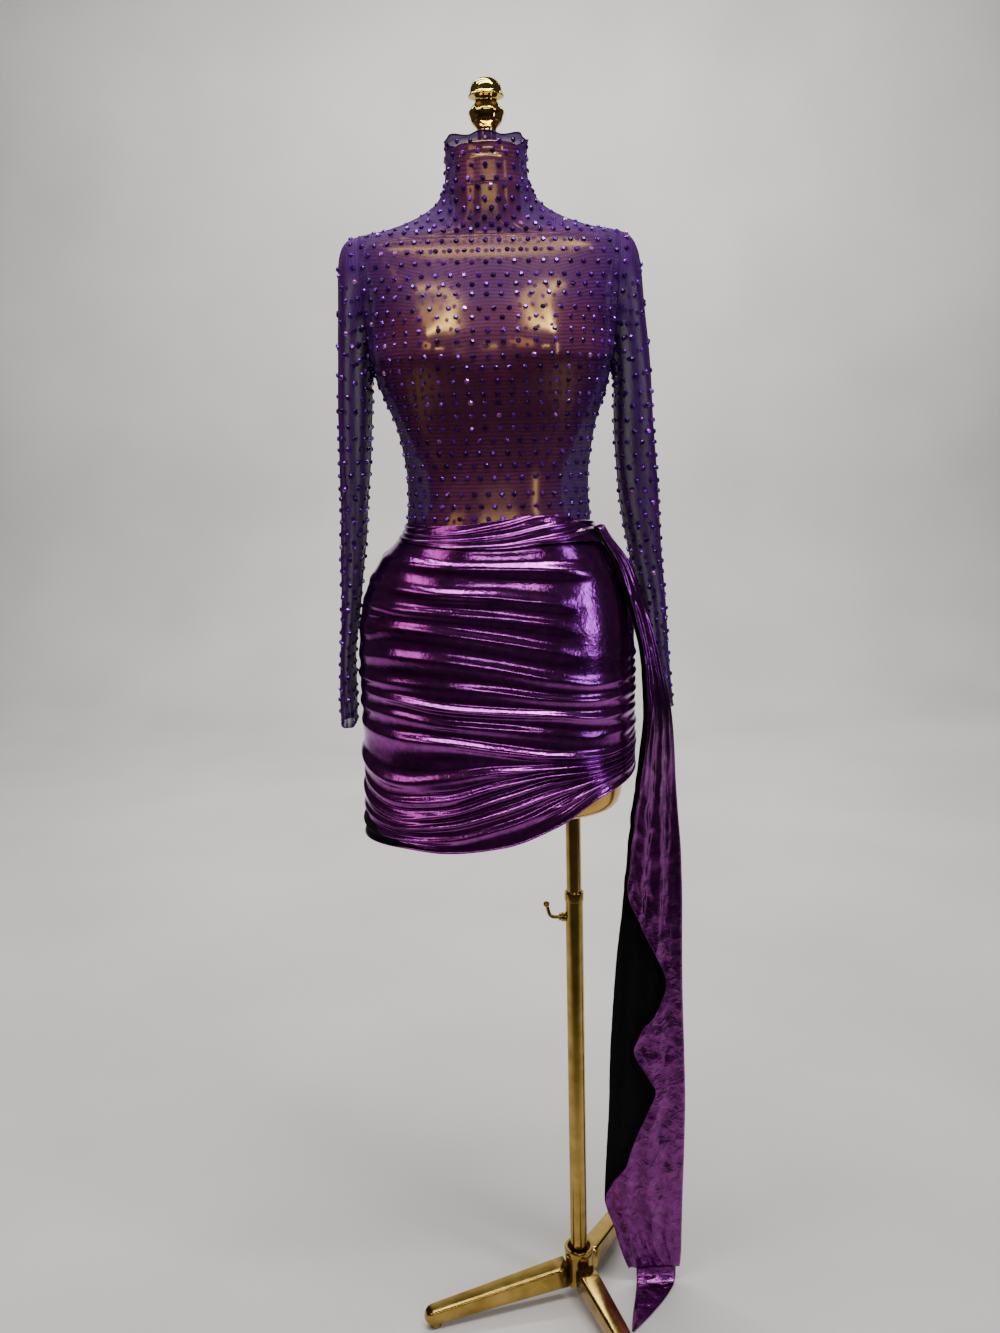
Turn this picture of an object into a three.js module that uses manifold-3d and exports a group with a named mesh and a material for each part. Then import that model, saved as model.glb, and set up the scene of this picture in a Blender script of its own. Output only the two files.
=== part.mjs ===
// Turtleneck mini dress on a limbless dress form with a three-legged stand.
// Millimetres, +Z up. The wearer's right is at -X, the front faces -Y. The tables are written about
// the torso's mid-plane (x = 0), the pole's axis (y = 0) and the floor (z = 0), and the last lines move
// the whole to the centre of its own footprint.

import * as THREE from 'three';
import Module from 'manifold-3d';
import { mergeVertices } from 'three/addons/utils/BufferGeometryUtils.js';

const wasm = await Module();
wasm.setup();

// Driving sizes
const CLOTH = 1.5;            // wall of every cloth piece
const SEAM = 0.4;             // gap between two pieces sewn edge to edge
const TOUCH = 0.3;            // gap between two hard pieces that stand on each other
const SQUARENESS = 2.3;       // exponent of the torso's oval sections
const POLE_X = 93.5;          // the pole stands under the wearer's left hip
const ARMPIT_Z = 1328;
const SHOULDER_Z = 1484.5;
const ARMHOLE = { low: 149, high: 158, half: 44 };   // x at the armpit, x at the shoulder, half breadth
const COLLAR_SEAM_Z = 1536;
const BOTTOM_Z = 752;         // flat underside of the form
const NECK_TOP_Z = 1569;

// Colours of the real finishes
const FINISH = {
  mesh: { color: 0x4a1a80, roughness: 0.7, metalness: 0.0 },
  foil: { color: 0x5a1470, roughness: 0.25, metalness: 0.9 },
  gold: { color: 0xc9a95a, roughness: 0.15, metalness: 1.0 },
};

// Bare form: half width, depth to the front and to the back at each height
const FORM = [
  { z: 752, w: 139, f: 78, b: 82 },
  { z: 755, w: 148, f: 88, b: 92 },
  { z: 761, w: 154, f: 95, b: 99 },
  { z: 772, w: 158, f: 100, b: 105 },
  { z: 800, w: 162, f: 104, b: 110 },
  { z: 840, w: 166, f: 107, b: 114 },
  { z: 890, w: 170, f: 109, b: 117 },
  { z: 940, w: 172, f: 109, b: 117 },
  { z: 985, w: 170, f: 107, b: 113 },
  { z: 1025, w: 162, f: 103, b: 105 },
  { z: 1060, w: 147, f: 97, b: 94 },
  { z: 1095, w: 122, f: 89, b: 82 },
  { z: 1130, w: 97, f: 80, b: 70 },
  { z: 1160, w: 85, f: 76, b: 63 },
  { z: 1190, w: 86, f: 74, b: 60 },
  { z: 1220, w: 98, f: 76, b: 64 },
  { z: 1260, w: 114, f: 80, b: 73 },
  { z: 1300, w: 131, f: 85, b: 83 },
  { z: 1340, w: 143, f: 87, b: 90 },
  { z: 1380, w: 145, f: 80, b: 93 },
  { z: 1415, w: 143, f: 68, b: 90 },
  { z: 1445, w: 150, f: 56, b: 80 },
  { z: 1462, w: 153, f: 47, b: 68 },
  { z: 1473, w: 148, f: 40, b: 55 },
  { z: 1479, w: 130, f: 36, b: 46 },
  { z: 1482, w: 98, f: 36, b: 43 },
  { z: 1486, w: 64, f: 38, b: 42 },
  { z: 1494, w: 47, f: 39, b: 41 },
  { z: 1510, w: 41, f: 39.5, b: 40 },
  { z: 1569, w: 39, f: 39, b: 39.5 },
];
const FORM_BUST = { x: 68, z: 1338, rise: 33, wide: 35, above: 56, below: 42 };

// Bodice outside: centre, half width, depth to the front and the back. It spans the form's waist
// and the hollow between neck and shoulder in straight lines.
const BODICE = [
  { z: 1118, c: 3.5, w: 116, f: 87, b: 79 },
  { z: 1140, c: 3.5, w: 116.5, f: 84, b: 75 },
  { z: 1160, c: 3.5, w: 114.5, f: 81, b: 71 },
  { z: 1190, c: 3.5, w: 114.5, f: 79, b: 68 },
  { z: 1220, c: 3.5, w: 118, f: 81, b: 70 },
  { z: 1255, c: 3, w: 125, f: 87, b: 78 },
  { z: 1290, c: 2, w: 138, f: 97, b: 88 },
  { z: 1328, c: 0, w: 149, f: 104, b: 95 },
  { z: 1355, c: 0, w: 152, f: 102, b: 99 },
  { z: 1385, c: 0, w: 153, f: 92, b: 100 },
  { z: 1415, c: 0, w: 154, f: 79, b: 97 },
  { z: 1440, c: 0, w: 155, f: 67, b: 89 },
  { z: 1460, c: 0, w: 156, f: 58, b: 77 },
  { z: 1475, c: 0, w: 157, f: 51, b: 63 },
  { z: 1484.5, c: 0, w: 158, f: 48, b: 55 },
  { z: 1489, c: 0, w: 131, f: 47, b: 53 },
  { z: 1498, c: 0, w: 101, f: 46, b: 51 },
  { z: 1509, c: 0, w: 77, f: 46, b: 50 },
  { z: 1522, c: 0, w: 60.5, f: 46.5, b: 49 },
  { z: 1535.6, c: 0, w: 53, f: 46.5, b: 48.5 },
];
const BODICE_BUST = { x: 70, z: 1340, rise: 23, wide: 46, above: 60, below: 50 };

// Collar outside, from its seam to the free edge
const COLLAR = [
  { z: 1536, c: 0, w: 53, f: 46.5, b: 48.5 },
  { z: 1548, c: -1, w: 50.5, f: 45, b: 47 },
  { z: 1562, c: -1, w: 49.5, f: 44.5, b: 46.5 },
  { z: 1576, c: -1, w: 49.5, f: 44.5, b: 46.5 },
  { z: 1590, c: -1, w: 50, f: 45, b: 47.5 },
];
const COLLAR_EDGE = { waves: 7, rise: 2, backRise: 5 };

// Skirt outside before its gathers
const SKIRT = [
  { z: 1146, c: 3.5, w: 118.2, f: 85.6, b: 76.4 },
  { z: 1130, c: 3.5, w: 118.9, f: 87.6, b: 79.2 },
  { z: 1112, c: 2.5, w: 131, f: 94, b: 88 },
  { z: 1090, c: 0, w: 149, f: 99, b: 97 },
  { z: 1070, c: -1, w: 160, f: 103, b: 103 },
  { z: 1045, c: -2, w: 170, f: 108, b: 111 },
  { z: 1015, c: -3, w: 176, f: 111, b: 117 },
  { z: 980, c: -3, w: 179, f: 113, b: 120 },
  { z: 930, c: -3, w: 180, f: 114, b: 122 },
  { z: 880, c: -3, w: 179, f: 113, b: 121 },
  { z: 830, c: -3, w: 179, f: 112, b: 118 },
  { z: 780, c: -3, w: 180, f: 110, b: 114 },
  { z: 725, c: -3, w: 182, f: 108, b: 110 },
];

// Lines that run round the skirt's front. Columns: height at the right-hand seam of the wearer (l3),
// over the front (l2, l1, mid, r1, r2) and at the other seam (r3); how far the crest stands out at
// the two seams and in the middle (dl, dm, dr); how far the same line sags across the back.
const SKIRT_TOP = { l3: 1134, l2: 1133, l1: 1134, mid: 1139, r1: 1144, r2: 1139, r3: 1129, sag: 0 };
const DRAPE_EDGE = { l3: 1119, l2: 1112, l1: 1108, mid: 1107, r1: 1111, r2: 1112, r3: 1100, sag: 4 };
const GATHERS = [
  { l3: 1096, l2: 1091, l1: 1087, mid: 1084, r1: 1081, r2: 1076, r3: 1070, dl: 3, dm: 5, dr: 3, sag: 6 },
  { l3: 1068, l2: 1059, l1: 1052, mid: 1047, r1: 1039, r2: 1028, r3: 1020, dl: 4, dm: 5, dr: 1, sag: 8 },
  { l3: 1039, l2: 1034, l1: 1030, mid: 1023, r1: 1012, r2: 1000, r3: 990, dl: 3, dm: 2, dr: 1, sag: 9 },
  { l3: 1007, l2: 1012, l1: 1006, mid: 996, r1: 982, r2: 969, r3: 963, dl: 2, dm: 5, dr: 2, sag: 9 },
  { l3: 968, l2: 974, l1: 971, mid: 961, r1: 946, r2: 938, r3: 942, dl: 3, dm: 5, dr: 2, sag: 10 },
  { l3: 945, l2: 943, l1: 938, mid: 931, r1: 920, r2: 914, r3: 918, dl: 3, dm: 4, dr: 2, sag: 10 },
  { l3: 927, l2: 922, l1: 913, mid: 907, r1: 901, r2: 893, r3: 896, dl: 3, dm: 5, dr: 2, sag: 11 },
  { l3: 908, l2: 902, l1: 893, mid: 886, r1: 876, r2: 866, r3: 875, dl: 4, dm: 5, dr: 2, sag: 11 },
  { l3: 883, l2: 870, l1: 868, mid: 858, r1: 848, r2: 844, r3: 857, dl: 4, dm: 6, dr: 2, sag: 11 },
  { l3: 843, l2: 816, l1: 820, mid: 831, r1: 834, r2: 833, r3: 847, dl: 5, dm: 6, dr: 2, sag: 10 },
  { l3: 815, l2: 787, l1: 793, mid: 813, r1: 825, r2: 826, r3: 840, dl: 5, dm: 5, dr: 1, sag: 9 },
  { l3: 797, l2: 768, l1: 775, mid: 796, r1: 815, r2: 819, r3: 834, dl: 4, dm: 5, dr: 1, sag: 8 },
  { l3: 769, l2: 754, l1: 760, mid: 778, r1: 800, r2: 812, r3: 828, dl: 4, dm: 4, dr: 1, sag: 6 },
  { l3: 748, l2: 739, l1: 741, mid: 757, r1: 782, r2: 804, r3: 822, dl: 3, dm: 4, dr: 1, sag: 4 },
];
const HEM = { l3: 726, l2: 727, l1: 724, mid: 731, r1: 755, r2: 788, r3: 814, sag: 2 };
const STATIONS = { l3: -1, l2: -0.5, l1: -0.25, mid: 0, r1: 0.25, r2: 0.5, r3: 1 };

// Sleeves: where the loop's under point (near the body) and outer point lie, its half breadth in y
// and its middle in y. The first rows turn from the armhole round to a level cut.
const SLEEVE_RIGHT = [
  { inX: 149.5, inZ: 1328, outX: 158.5, outZ: 1484.5, half: 44, y: 0 },
  { inX: 150.2, inZ: 1325.5, outX: 171, outZ: 1481, half: 44, y: 0 },
  { inX: 150.8, inZ: 1322.5, outX: 181, outZ: 1470, half: 44, y: 0 },
  { inX: 151.2, inZ: 1319, outX: 186, outZ: 1450, half: 44.5, y: 0 },
  { inX: 151.5, inZ: 1315, outX: 188.5, outZ: 1405, half: 45, y: 0 },
  { inX: 151.8, inZ: 1308, outX: 192, outZ: 1350, half: 45.5, y: 1 },
  { inX: 152, inZ: 1290, outX: 195, outZ: 1298, half: 45, y: 1 },
  { inX: 157, inZ: 1228, outX: 197, outZ: 1228, half: 43, y: 2 },
  { inX: 163.5, inZ: 1166, outX: 198, outZ: 1166, half: 40, y: 3 },
  { inX: 172, inZ: 1089, outX: 202, outZ: 1089, half: 37, y: 4 },
  { inX: 184, inZ: 1010, outX: 205, outZ: 1010, half: 34, y: 5 },
  { inX: 191, inZ: 957, outX: 209, outZ: 957, half: 32.5, y: 6 },
  { inX: 192, inZ: 905, outX: 211, outZ: 905, half: 31, y: 6 },
  { inX: 193, inZ: 871, outX: 212, outZ: 871, half: 30, y: 6 },
];
const SLEEVE_LEFT = [
  { inX: 149.5, inZ: 1328, outX: 158.5, outZ: 1484.5, half: 44, y: 0 },
  { inX: 150.2, inZ: 1325.5, outX: 170, outZ: 1480, half: 44, y: 0 },
  { inX: 150.8, inZ: 1322.5, outX: 180, outZ: 1467, half: 44, y: 0 },
  { inX: 151.2, inZ: 1319, outX: 185.5, outZ: 1447, half: 44.5, y: 0 },
  { inX: 151.5, inZ: 1315, outX: 190, outZ: 1402, half: 45, y: 1 },
  { inX: 151.8, inZ: 1308, outX: 196, outZ: 1346, half: 45.5, y: 3 },
  { inX: 152.5, inZ: 1290, outX: 200, outZ: 1295, half: 45, y: 5 },
  { inX: 154, inZ: 1228, outX: 205.5, outZ: 1228, half: 43, y: 9 },
  { inX: 159, inZ: 1166, outX: 210.5, outZ: 1166, half: 40, y: 14 },
  { inX: 172, inZ: 1089, outX: 214.5, outZ: 1089, half: 37, y: 19 },
  { inX: 186, inZ: 1020, outX: 221, outZ: 1020, half: 34, y: 24 },
  { inX: 195, inZ: 957, outX: 225, outZ: 957, half: 32.5, y: 28 },
  { inX: 204, inZ: 915, outX: 228, outZ: 915, half: 31, y: 30 },
  { inX: 212, inZ: 882, outX: 231, outZ: 882, half: 30, y: 31 },
];
const SLEEVE_CREASE = { count: 4, depth: -1.3 };
// The right sleeve is one piece of cloth, in two solids that meet in this row
const ELBOW_ROW = 7;

// Train: one long strip folded lengthwise. Columns: the open edge of its back layer (x, y) and the
// folded spine (sx, sy) at each height, and the room between the two layers.
const TRAIN = [
  { z: 1127, x: 124.5, y: -46, sx: 144.5, sy: -12, room: 5 },
  { z: 1104, x: 135.5, y: -52, sx: 154.5, sy: -12, room: 5 },
  { z: 1078, x: 147.5, y: -57, sx: 166.5, sy: -13, room: 5 },
  { z: 1024, x: 163.5, y: -58, sx: 184, sy: -15, room: 6 },
  { z: 956, x: 178, y: -59, sx: 202, sy: -19, room: 6 },
  { z: 887, x: 181, y: -57, sx: 217, sy: -16, room: 7 },
  { z: 831, x: 176, y: -54, sx: 222, sy: -10, room: 8 },
  { z: 789, x: 173, y: -44, sx: 225, sy: -4, room: 8 },
  { z: 746, x: 168, y: -34, sx: 228, sy: 0, room: 9 },
  { z: 674, x: 164, y: -18, sx: 234, sy: 4, room: 10 },
  { z: 600, x: 158, y: -8, sx: 237, sy: 7, room: 10 },
  { z: 526, x: 151, y: 0, sx: 238, sy: 9, room: 10 },
  { z: 450, x: 146, y: 5, sx: 240, sy: 12, room: 10 },
  { z: 372, x: 142, y: 9, sx: 243, sy: 14, room: 10 },
  { z: 293, x: 140, y: 12, sx: 245, sy: 16, room: 10 },
  { z: 212, x: 136, y: 14, sx: 244, sy: 17, room: 10 },
  { z: 140, x: 133, y: 16, sx: 243, sy: 18, room: 9 },
  { z: 98, x: 145, y: 17, sx: 243, sy: 19, room: 8 },
  { z: 55, x: 156, y: 18, sx: 243, sy: 19, room: 7 },
  { z: 24, x: 167, y: 19, sx: 242, sy: 20, room: 6 },
];
// Share of the strip's width that the front layer covers: its free edge falls in a zigzag
const CASCADE = [
  { z: 1127, share: 0.96 },
  { z: 640, share: 0.97 },
  { z: 574, share: 0.65 },
  { z: 529, share: 0.38 },
  { z: 486, share: 0.2 },
  { z: 453, share: 0.3 },
  { z: 408, share: 0.59 },
  { z: 385, share: 0.675 },
  { z: 341, share: 0.475 },
  { z: 317, share: 0.37 },
  { z: 278, share: 0.49 },
  { z: 228, share: 0.667 },
  { z: 204, share: 0.72 },
  { z: 164, share: 0.93 },
  { z: 148, share: 0.985 },
  { z: 24, share: 0.985 },
];
const TRAIN_PLEAT = { count: 3, depth: 1.6 };
// Tail: the strip's pointed end, from inside the back layer down and forward over the floor
const TAIL = [
  { z: 44, y: 19.2, left: 180, right: 240 },
  { z: 20, y: 18.6, left: 180, right: 239 },
  { z: 7, y: 12, left: 179.5, right: 237 },
  { z: 2.2, y: 2, left: 178, right: 232 },
  { z: 1.5, y: -22, left: 173, right: 217 },
  { z: 1.5, y: -54, left: 166, right: 192 },
  { z: 1.5, y: -84, left: 161, right: 165 },
];

// Stand
const POLE = { lower: 12.2, bore: 10.9, upper: 10.3, bottom: 24, step: 626, overlap: 60 };
const HUB = { r: 20.5, bottom: 16, top: 75, cup: 16, cupDepth: 16 };
const LEG = { width: 30, tipWidth: 22, rootTop: 54, tipTop: 27, rootLow: 20, tipLow: 6, bevel: 5 };
const LEGS = [
  { name: 'leg_right', angle: 196, length: 234 },
  { name: 'leg_front', angle: 291, length: 234 },
  { name: 'leg_rear', angle: 61, length: 240 },
];
const PAD = { from: 26, to: 6, half: 8, height: 6 };
const LOCK = { z: 589, boss: 6.5, bossLength: 6, rod: 2.6, hole: 3.1, arm: 17, rise: 19, bend: 8, ball: 4.5 };

// A smooth value between the rows of a table, with no overshoot (monotone cubic)
function curve(rows, key, along = 'z') {
  const sorted = [...rows].sort((p, q) => p[along] - q[along]);
  const x = sorted.map((row) => row[along]);
  const y = sorted.map((row) => row[key]);
  const slope = x.slice(1).map((value, i) => (y[i + 1] - y[i]) / (value - x[i]));
  const tangent = y.map((value, i) => {
    if (i === 0) return slope[0];
    if (i === y.length - 1) return slope[i - 1];
    const product = slope[i - 1] * slope[i];
    return product <= 0 ? 0 : 2 * product / (slope[i - 1] + slope[i]);
  });
  return (at) => {
    if (at <= x[0]) return y[0];
    if (at >= x[x.length - 1]) return y[y.length - 1];
    let i = 0;
    while (at > x[i + 1]) i += 1;
    const h = x[i + 1] - x[i];
    const t = (at - x[i]) / h;
    const rise = t * t * (3 - 2 * t);
    return y[i] * (1 - rise) + y[i + 1] * rise
      + h * (t * (1 - t) * (1 - t) * tangent[i] - t * t * (1 - t) * tangent[i + 1]);
  };
}

const curves = (rows, keys, along) => Object.fromEntries(keys.map((key) => [key, curve(rows, key, along)]));
const range = (count, from = 0, to = 1) => Array.from({ length: count },
  (_, i) => from + (to - from) * i / (count - 1));
const mix = THREE.MathUtils.lerp;
const smooth = THREE.MathUtils.smoothstep;

// How far the bust carries the front out at a point
function bust(shape, x, z) {
  const tall = z > shape.z ? shape.above : shape.below;
  const across = (side) => Math.exp(-(((x - side * shape.x) / shape.wide) ** 2));
  return shape.rise * (across(1) + across(-1)) * Math.exp(-(((z - shape.z) / tall) ** 2));
}

// Geometry from closed triangles; indexes turn counter-clockwise seen from outside
function geometryFrom(points, triangles) {
  const geometry = new THREE.BufferGeometry();
  geometry.setAttribute('position', new THREE.Float32BufferAttribute(points.flatMap((p) => [p.x, p.y, p.z]), 3));
  geometry.setIndex(triangles.flat());
  if (volume(points, triangles) < 0) geometry.setIndex(triangles.map(([a, b, c]) => [a, c, b]).flat());
  return geometry;
}

function volume(points, triangles) {
  const cross = new THREE.Vector3();
  return triangles.reduce((sum, [a, b, c]) => sum
    + points[a].dot(cross.crossVectors(points[b], points[c])) / 6, 0);
}

// Unit normals of a grid of points; side turns them to the other face
function normals(rows, closed, side) {
  const last = rows.length - 1;
  const width = rows[0].length;
  return rows.map((row, i) => row.map((point, j) => {
    const left = closed ? row[(j - 1 + width) % width] : row[Math.max(j - 1, 0)];
    const right = closed ? row[(j + 1) % width] : row[Math.min(j + 1, width - 1)];
    const low = rows[Math.max(i - 1, 0)][j];
    const high = rows[Math.min(i + 1, last)][j];
    return new THREE.Vector3().crossVectors(right.clone().sub(left), high.clone().sub(low))
      .multiplyScalar(side).normalize();
  }));
}

// A cloth wall: the outer grid, the same grid moved in by the wall, and rims all round.
// square(i, j, normal) may flatten a normal at an edge, so that the rim lies in the seam's plane.
function wall(rows, { closed = false, side = 1, thickness = CLOTH, square = null } = {}) {
  const outward = normals(rows, closed, side);
  const height = rows.length;
  const width = rows[0].length;
  if (square) outward.forEach((line, i) => line.forEach((normal, j) => square(i, j, normal)));
  const inner = rows.map((row, i) => row.map((p, j) => p.clone().addScaledVector(outward[i][j], -thickness)));
  const points = [...rows.flat(), ...inner.flat()];
  const count = height * width;
  const triangles = [];
  const quad = (a, b, c, d) => triangles.push([a, b, c], [a, c, d]);
  const columns = closed ? width : width - 1;
  for (let i = 0; i < height - 1; i += 1) {
    for (let j = 0; j < columns; j += 1) {
      const k = (j + 1) % width;
      const corners = [i * width + j, i * width + k, (i + 1) * width + k, (i + 1) * width + j];
      quad(...corners);
      quad(...[...corners].reverse().map((corner) => corner + count));
    }
  }
  const rim = (edge) => edge.slice(1).forEach((b, i) => quad(b, edge[i], edge[i] + count, b + count));
  const line = (i) => rows[i].map((_, j) => i * width + j);
  const loop = (edge) => (closed ? [...edge, edge[0]] : edge);
  rim(loop(line(0)));
  rim(loop(line(height - 1)).reverse());
  if (!closed) {
    rim(range(height, height - 1, 0).map((i) => Math.round(i) * width));
    rim(range(height, 0, height - 1).map((i) => Math.round(i) * width + width - 1));
  }
  return geometryFrom(points, triangles);
}

// A solid through closed loops of points, with a flat end on each side
function loft(loops) {
  const width = loops[0].length;
  const points = loops.flat();
  const triangles = [];
  for (let i = 0; i < loops.length - 1; i += 1) {
    for (let j = 0; j < width; j += 1) {
      const k = (j + 1) % width;
      const [a, b, c, d] = [i * width + j, i * width + k, (i + 1) * width + k, (i + 1) * width + j];
      triangles.push([a, b, c], [a, c, d]);
    }
  }
  const centre = (loop) => loop.reduce((sum, p) => sum.add(p), new THREE.Vector3()).divideScalar(width);
  points.push(centre(loops[0]), centre(loops[loops.length - 1]));
  const top = (loops.length - 1) * width;
  for (let j = 0; j < width; j += 1) {
    const k = (j + 1) % width;
    triangles.push([k, j, points.length - 2], [top + j, top + k, points.length - 1]);
  }
  return geometryFrom(points, triangles);
}

// A turned piece about +Z from a closed outline of radius and height
function turned(outline, segments) {
  const profile = outline.map(([radius, height]) => new THREE.Vector2(radius, height));
  return new THREE.LatheGeometry(profile, segments).rotateX(Math.PI / 2);
}

function solid(geometry) {
  const bare = geometry.clone();
  bare.deleteAttribute('normal');
  bare.deleteAttribute('uv');
  const merged = mergeVertices(bare, 1e-4);
  return new wasm.Manifold(new wasm.Mesh({
    numProp: 3,
    vertProperties: new Float32Array(merged.attributes.position.array),
    triVerts: new Uint32Array(merged.index.array),
  }));
}

function fromSolid(body) {
  const mesh = body.getMesh();
  const geometry = new THREE.BufferGeometry();
  geometry.setAttribute('position', new THREE.BufferAttribute(new Float32Array(mesh.vertProperties), 3));
  geometry.setIndex(new THREE.BufferAttribute(new Uint32Array(mesh.triVerts), 1));
  return geometry;
}

const dress = new THREE.Group();
function add(name, geometry, finish) {
  const mesh = new THREE.Mesh(geometry, new THREE.MeshStandardMaterial(FINISH[finish]));
  mesh.name = name;
  dress.add(mesh);
  return mesh;
}

// Form: level ovals from the flat underside to the top of the neck
function formGeometry() {
  const at = curves(FORM, ['w', 'f', 'b']);
  const turn = range(29, 0, 2 * Math.PI).slice(0, -1);
  const power = (value) => Math.sign(value) * Math.abs(value) ** (2 / SQUARENESS);
  return loft(FORM.map(({ z }) => turn.map((angle) => {
    const x = at.w(z) * power(Math.cos(angle));
    const front = Math.sin(angle) < 0;
    const y = (front ? at.f(z) : at.b(z)) * power(Math.sin(angle));
    const facing = front ? smooth(-Math.sin(angle), 0, 0.5) : 0;
    return new THREE.Vector3(x, y - bust(FORM_BUST, x, z) * facing, z);
  })));
}

// One half of the bodice. Below the armpit its edges are the side seams, above it the armholes,
// and then the shoulder seams up to the collar.
const bodice = curves(BODICE, ['c', 'w', 'f', 'b']);
const BODICE_ROWS = BODICE.map(({ z }) => z);
function armhole(z) {
  if (z <= ARMPIT_Z || z >= SHOULDER_Z) return { x: bodice.w(z), y: 0 };
  const middle = (ARMPIT_Z + SHOULDER_Z) / 2;
  const level = (z - middle) / (SHOULDER_Z - middle);
  return {
    x: mix(ARMHOLE.low, ARMHOLE.high, (level + 1) / 2),
    y: ARMHOLE.half * Math.sqrt(1 - level * level),
  };
}
function bodicePoint(across, z, half) {
  const edge = armhole(z);
  const x = Math.sin(across * Math.PI / 2);
  const rise = smooth(z, ARMPIT_Z, ARMPIT_Z + 45) * (1 - smooth(z, SHOULDER_Z + 10, COLLAR_SEAM_Z));
  const roundness = mix(1 / SQUARENESS, 0.9, rise);
  const depth = half < 0 ? bodice.f(z) : bodice.b(z);
  const swell = (1 - Math.abs(x) ** SQUARENESS) ** roundness;
  const place = new THREE.Vector3(bodice.c(z) + edge.x * x, half * (edge.y + (depth - edge.y) * swell), z);
  if (half < 0) place.y -= bust(BODICE_BUST, place.x, z) * smooth(swell, 0, 0.6);
  place.y += half * SEAM / 2;
  return place;
}
function bodiceGeometry(half, columns) {
  const rows = BODICE_ROWS.map((z) => range(columns, -1, 1).map((across) => bodicePoint(across, z, half)));
  return wall(rows, {
    side: half < 0 ? 1 : -1,
    square: (i, j, normal) => {
      if (j > 0 && j < columns - 1) return;
      const inArmhole = BODICE_ROWS[i] > ARMPIT_Z && BODICE_ROWS[i] < SHOULDER_Z;
      normal.setComponent(inArmhole ? 0 : 1, 0).normalize();
    },
  });
}

// Collar: a tube with a lightly ruffled free edge that stands higher at the back
function collarGeometry() {
  const at = curves(COLLAR, ['c', 'w', 'f', 'b']);
  const turn = range(29, 0, 2 * Math.PI).slice(0, -1);
  const top = COLLAR[COLLAR.length - 1].z;
  const rows = COLLAR.map(({ z }) => turn.map((angle) => {
    const lift = z === top ? COLLAR_EDGE.rise * Math.sin(COLLAR_EDGE.waves * angle)
      + COLLAR_EDGE.backRise * Math.max(Math.sin(angle), 0) : 0;
    const depth = Math.sin(angle) < 0 ? at.f(z) : at.b(z);
    return new THREE.Vector3(at.c(z) + at.w(z) * Math.cos(angle), depth * Math.sin(angle), z + lift);
  }));
  return wall(rows, {
    closed: true,
    square: (i, j, normal) => { if (i === 0) normal.setZ(0).normalize(); },
  });
}

// Skirt: each half has a row of points on every crest and one in the trough below it
const skirt = curves(SKIRT, ['c', 'w', 'f', 'b']);
function lineHeight(line, across, half) {
  if (half > 0) return mix(line.l3, line.r3, (across + 1) / 2) - line.sag * Math.cos(across * Math.PI / 2);
  const stations = Object.entries(STATIONS).map(([name, s]) => ({ s, z: line[name] }));
  return curve(stations, 'z', 's')(across);
}
function lineDepth(line, across) {
  return across < 0 ? mix(line.dm, line.dl, across * across) : mix(line.dm, line.dr, across * across);
}
function skirtPoint(across, z, out, half) {
  const x = Math.sin(across * Math.PI / 2);
  const swell = (1 - Math.abs(x) ** SQUARENESS) ** (1 / SQUARENESS);
  const depth = half < 0 ? skirt.f(z) : skirt.b(z);
  const y = half * ((depth + out) * swell + SEAM / 2);
  return new THREE.Vector3(skirt.c(z) + (skirt.w(z) + out) * x, y, z);
}
function skirtGeometry(half, columns) {
  const across = range(columns, -1, 1);
  const levels = (line) => across.map((s) => lineHeight(line, s, half));
  const top = levels(SKIRT_TOP);
  const edge = levels(DRAPE_EDGE);
  const rows = [
    { heights: top, out: () => 0 },
    { heights: top.map((z, j) => mix(z, edge[j], 0.5)), out: () => 0 },
    { heights: edge, out: () => 0 },
  ];
  GATHERS.forEach((line, k) => {
    const crest = levels(line);
    const next = levels(GATHERS[k + 1] ?? HEM);
    rows.push({ heights: crest, out: (s) => lineDepth(line, s) });
    rows.push({ heights: crest.map((z, j) => mix(z, next[j], 0.55)), out: () => 0 });
  });
  rows.push({ heights: levels(HEM), out: () => 0.5 });
  const grid = rows.reverse().map(({ heights, out }) => across.map((s, j) => (
    skirtPoint(s, heights[j], out(s), half))));
  return wall(grid, {
    side: half < 0 ? 1 : -1,
    square: (i, j, normal) => { if (j === 0 || j === columns - 1) normal.setY(0).normalize(); },
  });
}

// Waist drape: cloth wrapped over the skirt's front top, made from its points moved out. It lies
// nearly flat at the right side and stands off in a roll at the left.
function drapeGeometry() {
  const across = range(17, -1, 1).slice(1, -1);
  const bulge = [2.1, 4.6, 6.4, 7.4, 7.2];
  const rows = bulge.map((out, i) => across.map((s) => {
    const share = i / (bulge.length - 1);
    const high = lineHeight(SKIRT_TOP, s, -1) + 1.5;
    const low = lineHeight(DRAPE_EDGE, s, -1);
    const stand = mix(bulge[0], out, 0.2 + 0.8 * smooth(s, -0.6, 0.3));
    return skirtPoint(s, mix(high, low, share), stand, -1);
  })).reverse();
  return wall(rows, { side: 1 });
}

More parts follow.
